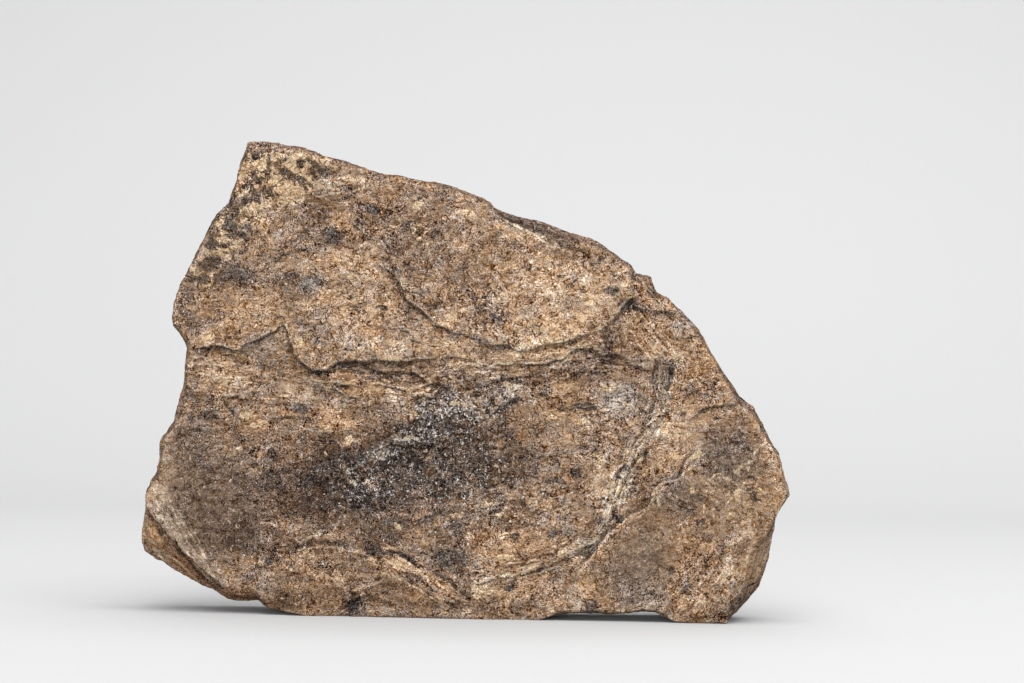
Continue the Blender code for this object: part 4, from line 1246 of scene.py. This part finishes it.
def thin_line(source, half_width, middle=0.5, solid=0.0):
    """1 where a noise is within solid of its middle value, and 0 beyond half_width of it."""
    centred = add_node(tree, "Math", {0: source, 1: middle}, operation="SUBTRACT")
    off_middle = add_node(tree, "Math", {0: centred}, operation="ABSOLUTE")
    return add_node(tree, "MapRange", {
        "Value": off_middle, "From Min": solid, "From Max": half_width, "To Min": 1, "To Max": 0,
    })


crevice = thin_line(wisps, WISP_CREVICE)
splits = thin_line(fibres, FIBRE_CREVICE)
splits = add_node(tree, "Math", {0: splits, 1: fibrous}, operation="MULTIPLY")
print(len(tree.nodes), "nodes so far")

# %% Risers between the thin beds, and their lit lips
bed_facts = add_node(tree, "SeparateXYZ", {"Vector": known["bed"]})
ragged_bed = add_node(tree, "Math", {0: clumps, 1: 0.5, 2: bed_facts}, operation="MULTIPLY_ADD")
tread = add_node(tree, "Math", {0: ragged_bed}, operation="FRACT")
riser = add_node(tree, "MapRange", {"Value": tread, "From Min": 0.86, "From Max": 0.94})
riser = add_node(tree, "Math", {0: riser, 1: bed_facts.outputs[1]}, operation="MULTIPLY")
lip = add_node(tree, "MapRange", {"Value": tread, "From Min": 0.16, "From Max": 0.02})
lip = add_node(tree, "Math", {0: lip, 1: bed_facts.outputs[1]}, operation="MULTIPLY")
for line in (splits, riser):
    crevice = add_node(tree, "Math", {0: crevice, 1: line}, operation="MAXIMUM")
print(len(tree.nodes), "nodes so far")

# %% [markdown]
# ### How light each grain is
#
# One number, from dark to light, says how light a grain is, and scales of colour turn it to brown
# further on. Its slow part is the tone attribute. Noise adds the rest, as strongly as the place is
# busy. The rim is darker. Painted shade darkens hollows and crevices, and painted light brightens
# crests and the lips of thin beds.

# %% How light each grain is
USUAL_LIGHT = 0.56  # the middle of the face, from 0 for the darkest to 1 for the palest
MOTTLED_FROM = 0.53  # where calcite grew, clumps above this are paler and those below darker

light = add_node(tree, "Math", {0: known["tone"], 1: USUAL_LIGHT}, operation="ADD")
for source, strength in ((clumps, 0.14), (wisps, 0.16), (fibres, 1.6), (flake_shade, 0.12)):
    centred = add_node(tree, "Math", {0: source, 1: 0.5}, operation="SUBTRACT")
    share = fibrous if source is fibres else known["busy"]
    centred = add_node(tree, "Math", {0: centred, 1: share}, operation="MULTIPLY")
    light = add_node(tree, "Math", {0: centred, 1: strength, 2: light}, operation="MULTIPLY_ADD")
mottled = add_node(tree, "Math", {0: clumps, 1: MOTTLED_FROM}, operation="SUBTRACT")
mottled = add_node(tree, "Math", {0: mottled, 1: known["specks"]}, operation="MULTIPLY")
# painted shade in hollows and crevices, painted light on crests and on the lips of thin beds
for source, strength in (
    (mottled, 1.6), (known["hollow"], -0.09), (known["rim"], -0.16), (lip, 0.12), (crevice, -0.16),
):
    light = add_node(tree, "Math", {0: source, 1: strength, 2: light}, operation="MULTIPLY_ADD")
print(len(tree.nodes), "nodes so far")

# %% [markdown]
# ### Crust and bare spots
#
# The pale crust is the skin of the next bed, eaten away into blotches about 5 mm across, with dark
# stone between. A mask with one soft edge would look airbrushed, so noise decides place by place: in
# crusted zones it swings widely, and elsewhere only enough to fray the single spots. Both shift how
# light the grain is, so the grain still shows in them. The back has its own crust.

# %% Crust and bare spots
BLOTCH_MM = 5.0
SWING_IN_CRUST, SWING = 13.0, 2.3  # of the noise, in crusted zones and everywhere
SPOT_FROM, SPOT_FULL = 0.38, 0.5  # above this a place starts to be crust, and is all crust
SPOT_LIGHT = 0.12  # how much lighter crust is than what it covers

blotch = add_node(tree, "TexNoise", {
    "Vector": place, "Scale": 1 / (BLOTCH_MM * MM), "Detail": 3.0, "Roughness": 0.6, "Distortion": 1.2,
})
blotched = add_node(tree, "Math", {0: blotch, 1: 0.5}, operation="SUBTRACT")
how_much = add_node(tree, "Math", {
    0: known["crust"], 1: SWING_IN_CRUST, 2: SWING,
}, operation="MULTIPLY_ADD")
spot = add_node(tree, "Math", {
    0: blotched, 1: how_much, 2: known["spots"],
}, operation="MULTIPLY_ADD")
masks = {}
for name, side in (("crust", 1), ("bare", -1)):
    masks[name] = add_node(tree, "MapRange", {
        "Value": spot, "From Min": side * SPOT_FROM, "From Max": side * SPOT_FULL,
    })
    light = add_node(tree, "Math", {
        0: masks[name], 1: side * SPOT_LIGHT, 2: light,
    }, operation="MULTIPLY_ADD")
print("masks:", ", ".join(masks))

# %% [markdown]
# ### Stripes of the rim
#
# On the rim the beds show as stripes 2 to 3 mm thick, rustier than the face, because water gets in
# between them. A wave texture would make them all alike. A noise squeezed through the thickness, as
# the one that carved them was, makes thick and thin ones that come and go.

# %% Stripes of the rim
layered = add_node(tree, "Mapping", {"Vector": place, "Scale": (1, BED_RUN_MM / BED_MM, 1)})
stripes = add_node(tree, "TexNoise", {
    "Vector": layered, "Scale": 1 / (BED_RUN_MM * MM), "Detail": 4.0, "Roughness": 0.6,
})
print("stripes, mm:", BED_MM)

# %% [markdown]
# ### Colour of the beds
#
# Two scales of colour run from dark to light: one for dull grey-brown beds, one for iron-stained
# ochre ones. The iron attribute, broken up by noise, says how much of each shows. The rim has a
# scale of its own, read by its stripes.

# %% Scales of colour
DULL = ((0.0, "#2a1d11"), (0.25, "#574433"), (0.5, "#846e5a"), (0.75, "#ab957f"), (1.0, "#d8c6b0"))
IRON = ((0.0, "#2c1b0c"), (0.25, "#64472c"), (0.5, "#957350"), (0.75, "#c29d76"), (1.0, "#e8cea9"))
RIM = ((0.3, "#34251a"), (0.43, "#5e422a"), (0.52, "#805a38"), (0.6, "#7c6853"), (0.72, "#ab9070"))

scales = []
for shades, source in ((DULL, light), (IRON, light), (RIM, stripes)):
    ramp = add_node(tree, "ValToRGB", {"Fac": source})
    stops = ramp.color_ramp.elements
    for stop, (position, shade) in zip((stops[0], stops[1]), (shades[0], shades[-1])):
        stop.position = position
        stop.color = paint(shade)
    for position, shade in shades[1:-1]:
        stops.new(position).color = paint(shade)
    scales.append(ramp.outputs["Color"])
print(len(scales), "scales of colour")

# %% How iron-stained each place is
STAIN_MM, STAIN_SWING = 4.5, 0.92
USUAL_IRON = 0.575  # how far the face is from dull to iron-stained where nothing else is said

stain = add_node(tree, "TexNoise", {
    "Vector": place, "Scale": 1 / (STAIN_MM * MM), "Detail": 4.0, "Roughness": 0.66, "Distortion": 0.8,
})
warm = add_node(tree, "MapRange", {
    "Value": stain, "From Min": 0.3, "From Max": 0.7, "To Min": -STAIN_SWING, "To Max": STAIN_SWING,
})
warm = add_node(tree, "Math", {0: warm, 1: known["busy"], 2: known["iron"]}, operation="MULTIPLY_ADD")
warm = add_node(tree, "Math", {0: warm, 1: USUAL_IRON}, operation="ADD", use_clamp=True)
colour = add_node(tree, "Mix", {0: warm, 6: scales[0], 7: scales[1]}, data_type="RGBA")
print("stains, mm:", STAIN_MM)

# %% [markdown]
# ### Specks, film, cracks and veins
#
# Each could be a material of its own, on faces picked by hand, but its edge would then follow the
# triangles. So each is a colour laid over the beds through a mask. The attribute says where it lies,
# and noise tears its edge. White calcite sits in ragged specks one or two millimetres across and
# fills a few threads between clumps, with dark specks beside it, painted as the shade in pits where
# grains fell out. Grey film follows the stains, painted shade fills hollows, and rust shows where
# iron is strongest.

# %% Calcite, and painted shade in pits
SPECK_MM = 1.9
SPECK_FROM, SPECK_FULL = 0.685, 0.7  # the specks' noise at its highest
THREAD_MIDDLE, THREAD_HALF, THREAD_SOLID = 0.53, 0.022, 0.012  # as thin_line needs them
PIT_FROM, PIT_FULL = 0.345, 0.315  # the blotches' noise at its lowest

speckle = add_node(tree, "TexNoise", {
    "Vector": place, "Scale": 1 / (SPECK_MM * MM), "Detail": 2.0, "Roughness": 0.7, "Distortion": 1.0,
})
chance = add_node(tree, "Math", {0: known["specks"], 1: 0.12, 2: speckle}, operation="MULTIPLY_ADD")
specks = add_node(tree, "MapRange", {"Value": chance, "From Min": SPECK_FROM, "From Max": SPECK_FULL})
filled = add_node(tree, "Math", {0: known["specks"], 1: 0.10, 2: clumps}, operation="MULTIPLY_ADD")
filled = add_node(tree, "MapRange", {"Value": filled, "From Min": 0.60, "From Max": 0.64})
thread = thin_line(speckle, THREAD_HALF, THREAD_MIDDLE, THREAD_SOLID)
thread = add_node(tree, "Math", {0: thread, 1: filled}, operation="MULTIPLY")
masks["white"] = add_node(tree, "Math", {0: specks, 1: thread}, operation="MAXIMUM")
# dark specks in the colour only, painted as the shade in pits where grains fell out
pitted = add_node(tree, "Math", {0: known["specks"], 1: -0.14, 2: blotch}, operation="MULTIPLY_ADD")
masks["pits"] = add_node(tree, "MapRange", {
    "Value": pitted, "From Min": PIT_FROM, "From Max": PIT_FULL,
})
print("specks, mm:", SPECK_MM)

# %% Rim, film, painted shade in hollows, and rust
masks["rim"] = add_node(tree, "Math", {0: known["rim"], 1: 0.6}, operation="MULTIPLY")
masks["film"] = add_node(tree, "Math", {0: known["film"], 1: stain}, operation="MULTIPLY")
# painted shade in hollows: the deeper the hollow, the darker the colour
masks["hollow_shade"] = add_node(tree, "MapRange", {
    "Value": known["hollow"], "From Min": 0.25, "From Max": 1.6,
})
rusty = add_node(tree, "Math", {0: stain, 1: 1.6, 2: known["iron"]}, operation="MULTIPLY_ADD")
masks["rust"] = add_node(tree, "MapRange", {"Value": rusty, "From Min": 1.6, "From Max": 2.3})
print(len(masks), "masks so far")

# %% Cracks and veins, with painted shade under ledges and painted light on their lips
TORN_BY = ((clumps, 3.0), (grain, 1.4))  # half widths by which each noise moves a line's edge
LINE_FROM, LINE_FULL = 3.3, 2.85  # half widths, with the noises added

for name in ("cracks_and_painted_shade", "veins_and_lit_lips"):
    facts = add_node(tree, "SeparateXYZ", {"Vector": known[name]})
    distance = add_node(tree, "Math", {0: facts}, operation="ABSOLUTE")
    for source, strength in TORN_BY:
        distance = add_node(tree, "Math", {
            0: source, 1: strength, 2: distance,
        }, operation="MULTIPLY_ADD")
    line = add_node(tree, "MapRange", {
        "Value": distance, "From Min": LINE_FROM, "From Max": LINE_FULL,
    })
    masks[name] = add_node(tree, "Math", {0: line, 1: facts.outputs[1]}, operation="MULTIPLY")
print("masks:", ", ".join(masks))

# %% Lay the colours over the beds
COVERS = (  # mask, colour, how much of it
    ("rim", scales[2], 1.0),
    ("rust", paint("#905c33"), 0.6),
    ("film", paint("#a39e96"), 0.9),
    ("crust", paint("#cbb08a"), 0.85),
    ("bare", paint("#534435"), 0.85),
    # painted shade in hollows
    ("hollow_shade", paint("#35261a"), 0.25),
    # painted shade in pits
    ("pits", paint("#2e241c"), 0.75),
    ("white", paint("#dbd2c6"), 0.8),
    # pale veins, and painted light on the lips of ledges
    ("veins_and_lit_lips", paint("#d2bf9f"), 0.8),
    # cracks, and painted shade under ledges and in the grooves beside the rib
    ("cracks_and_painted_shade", paint("#34251a"), 0.9),
)
for name, cover, amount in COVERS:
    share = add_node(tree, "Math", {0: masks[name], 1: amount}, operation="MULTIPLY", use_clamp=True)
    colour = add_node(tree, "Mix", {0: share, 6: colour, 7: cover}, data_type="RGBA")
print(len(COVERS), "colours over the beds")

# %% [markdown]
# ### Light and shade between grains
#
# Between grains there is shade, and on them a glint. Bump alone leaves both too weak, because it
# casts no shadow. So they are added to the colour, in the gamma the eye sees in, where one step
# looks the same on a dark bed and on a light one. Light is a little cooler than the stone and shade
# a little warmer. Their strength follows how busy the place is, and each flake takes more or less. A
# soft limit keeps the brightest grains from turning white.

# %% Creases, hairlines and glints
CREASE_MM, HAIRLINE_MM, GLINT_MM = 2.4, 8.0, 1.1
CREASE_HALF, HAIRLINE_HALF = 0.022, 0.018  # how far from its middle value a noise still draws them

creases = add_node(tree, "TexNoise", {
    "Vector": place, "Scale": 1 / (CREASE_MM * MM), "Detail": 2.5, "Roughness": 0.62, "Distortion": 1.1,
})
hairs = add_node(tree, "TexNoise", {
    "Vector": place, "Scale": 1 / (HAIRLINE_MM * MM), "Detail": 4.0, "Roughness": 0.6, "Distortion": 0.8,
})
glints = add_node(tree, "TexNoise", {
    "Vector": place, "Scale": 1 / (GLINT_MM * MM), "Detail": 2.0, "Roughness": 0.6, "Distortion": 0.7,
})
crease = thin_line(creases, CREASE_HALF)
hairline = thin_line(hairs, HAIRLINE_HALF)
shown = add_node(tree, "MapRange", {"Value": stain, "From Min": 0.46, "From Max": 0.52})
hairline = add_node(tree, "Math", {0: hairline, 1: shown}, operation="MULTIPLY")
glint = add_node(tree, "MapRange", {"Value": glints, "From Min": 0.57, "From Max": 0.68})
print("creases, hairlines and glints, mm:", CREASE_MM, HAIRLINE_MM, GLINT_MM)

# %% How much light or shade
GRAIN_CONTRAST, LIGHTER_BY = 1.7, 0.062
BRIGHTEST, SOFTNESS = 0.18, 0.14  # the most light, and how softly it is reached
FLAKE_LEAST, FLAKE_MORE = 0.65, 0.7  # a flake's share of it: the least, and how much more at most

fine = add_node(tree, "Math", {0: grain, 1: 0.5}, operation="SUBTRACT")
fine = add_node(tree, "Math", {0: fine, 1: GRAIN_CONTRAST, 2: LIGHTER_BY}, operation="MULTIPLY_ADD")
for source, strength in ((clumps, 0.12), (wisps, 0.2), (fibres, 0.5)):
    centred = add_node(tree, "Math", {0: source, 1: 0.5}, operation="SUBTRACT")
    if source is fibres:
        centred = add_node(tree, "Math", {0: centred, 1: fibrous}, operation="MULTIPLY")
    fine = add_node(tree, "Math", {0: centred, 1: strength, 2: fine}, operation="MULTIPLY_ADD")
for source, strength in ((open_edge, -0.42), (crease, -0.3), (hairline, -0.6), (glint, 0.07)):
    fine = add_node(tree, "Math", {0: source, 1: strength, 2: fine}, operation="MULTIPLY_ADD")
fine = add_node(tree, "Math", {0: fine, 1: known["busy"]}, operation="MULTIPLY")
fine = add_node(tree, "Math", {0: fine, 1: BRIGHTEST, 2: SOFTNESS}, operation="SMOOTH_MIN")
uneven = add_node(tree, "Math", {
    0: flake_shade.outputs[2], 1: FLAKE_MORE, 2: FLAKE_LEAST,
}, operation="MULTIPLY_ADD")
fine = add_node(tree, "Math", {0: fine, 1: uneven}, operation="MULTIPLY")
print(len(tree.nodes), "nodes so far")

# %% Add the light and shade to the colour
SEEN_GAMMA = 2.2
COOL_LIGHT = (0.85, 1.0, 1.2)  # how much it changes red, green and blue
BLACKEST = (0.03, 0.03, 0.03)

seen = add_node(tree, "Gamma", {"Color": colour, "Gamma": 1 / SEEN_GAMMA})
shaded = add_node(tree, "VectorMath", {0: fine, 1: COOL_LIGHT, 2: seen}, operation="MULTIPLY_ADD")
shaded = add_node(tree, "VectorMath", {0: shaded, 1: BLACKEST}, operation="MAXIMUM")
colour = add_node(tree, "Gamma", {"Color": shaded, "Gamma": SEEN_GAMMA})
print(len(tree.nodes), "nodes so far")

# %% [markdown]
# ### Relief and the surface
#
# Bump adds only what is finer than the mesh: grain, wisps, thin lines and the tilt of flakes. Broken
# sandstone has no coat and hardly any gloss, so its roughness is 0.9 and its gloss is turned low.
# The index of refraction is near that of quartz.

# %% Relief finer than the mesh, and the surface
RELIEF_MM = 2.2  # the height that 1 stands for
HEIGHTS = (
    (grain, 0.35), (clumps, 0.75), (wisps, 0.6), (crevice, -0.22), (crease, -0.1),
    (hairline, -0.2), (open_edge, -0.12), (tilted, FLAKE_SLOPE / (RELIEF_MM * MM)),
)

height = 0.0
for source, strength in HEIGHTS:
    height = add_node(tree, "Math", {0: source, 1: strength, 2: height}, operation="MULTIPLY_ADD")
relief = add_node(tree, "Bump", {"Strength": 1.0, "Distance": RELIEF_MM * MM, "Height": height})
surface = add_node(tree, "BsdfPrincipled", {
    "Base Color": colour, "Roughness": 0.9, "IOR": 1.5, "Specular IOR Level": 0.12,
    "Normal": relief,
})
add_node(tree, "OutputMaterial", {"Surface": surface})
slab.data.materials.append(sandstone)
print(len(tree.nodes), "nodes")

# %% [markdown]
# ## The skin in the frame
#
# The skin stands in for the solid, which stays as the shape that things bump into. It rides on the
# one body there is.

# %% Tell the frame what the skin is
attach(slab, "root")
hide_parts("stone_slab")
print(slab.name, "replaces stone_slab")

# %% [markdown]
# ## Floor, backdrop and light
#
# The floor is a pale sheet that sweeps up behind the slab, as in a studio, so there is no horizon
# line. Its side view is a floor, a quarter circle and a wall, and extruding that line makes the
# sheet.

# %% Floor and backdrop
SWEEP_NEAR, SWEEP_FAR, SWEEP_HIGH, SWEEP_WIDE = -1.6, 1.5, 2.6, 6.0  # m
SWEEP_BEND, BEND_STEPS = 0.7, 12

sweep = bmesh.new()
side_view = [(SWEEP_NEAR, 0), (SWEEP_FAR - SWEEP_BEND, 0)]
for step in range(1, BEND_STEPS + 1):
    angle = math.radians(90 * step / BEND_STEPS)
    back_y = SWEEP_FAR - SWEEP_BEND + SWEEP_BEND * math.sin(angle)
    side_view.append((back_y, SWEEP_BEND * (1 - math.cos(angle))))
side_view.append((SWEEP_FAR, SWEEP_HIGH))
profile = [sweep.verts.new((-SWEEP_WIDE / 2, y, z)) for y, z in side_view]
strips = [sweep.edges.new(pair) for pair in zip(profile, profile[1:])]
grown = bmesh.ops.extrude_edge_only(sweep, edges=strips)["geom"]
far_side = [part for part in grown if isinstance(part, bmesh.types.BMVert)]
bmesh.ops.translate(sweep, vec=(SWEEP_WIDE, 0, 0), verts=far_side)
bmesh.ops.recalc_face_normals(sweep, faces=sweep.faces)
sweep_mesh = bpy.data.meshes.new("paper_sweep")
sweep.to_mesh(sweep_mesh)
sweep.free()
sweep_mesh.polygons.foreach_set("use_smooth", [True] * len(sweep_mesh.polygons))
backdrop = bpy.data.objects.new("paper_sweep", sweep_mesh)
bpy.context.scene.collection.objects.link(backdrop)
print("sweep:", len(sweep_mesh.polygons), "faces")

# %% The backdrop's paper
paper = bpy.data.materials.new("matt_background_paper")
paper.use_nodes = True
paper_shader = paper.node_tree.nodes["Principled BSDF"]
paper_shader.inputs["Base Color"].default_value = paint("#9a9a9a")
paper_shader.inputs["Roughness"].default_value = 0.9
paper_shader.inputs["Specular IOR Level"].default_value = 0.1
sweep_mesh.materials.append(paper)
print("material", paper.name)

# %% [markdown]
# ### Lights
#
# A large soft light hangs overhead, a long low one fills in from the front, and a third washes the
# backdrop. A nearly white world lights what they miss, so no shadow is black. Point lights would
# draw hard shadows, which a studio's softboxes don't.

# %% Lights
LIGHTS = (  # name, place, aimed at, size, watts
    ("overhead_softbox", (0.3, -0.6, 1.75), (0.0, 0.0, 0.1), (2.6, 1.6), 72),
    ("front_fill", (-0.5, -2.2, 0.4), (0.0, 0.0, 0.05), (2.4, 0.5), 34),
    ("backdrop_wash", (0.0, 0.7, 1.9), (0.0, 1.5, 0.6), (2.6, 0.8), 26),
)
WORLD_STRENGTH = 1.05

for name, spot, target, size, watts in LIGHTS:
    lamp_data = bpy.data.lights.new(name, "AREA")
    lamp_data.shape = "RECTANGLE"
    lamp_data.size, lamp_data.size_y = size
    lamp_data.energy = watts
    lamp = bpy.data.objects.new(name, lamp_data)
    lamp.location = spot
    lamp.rotation_euler = (Vector(target) - Vector(spot)).to_track_quat("-Z", "Y").to_euler()
    bpy.context.scene.collection.objects.link(lamp)

world = bpy.data.worlds.new("studio")
world.use_nodes = True
world.node_tree.nodes["Background"].inputs["Color"].default_value = paint("#f8f8fa")
world.node_tree.nodes["Background"].inputs["Strength"].default_value = WORLD_STRENGTH
bpy.context.scene.world = world
bpy.context.scene.view_settings.view_transform = "Standard"
print(len(LIGHTS), "lights and a world")
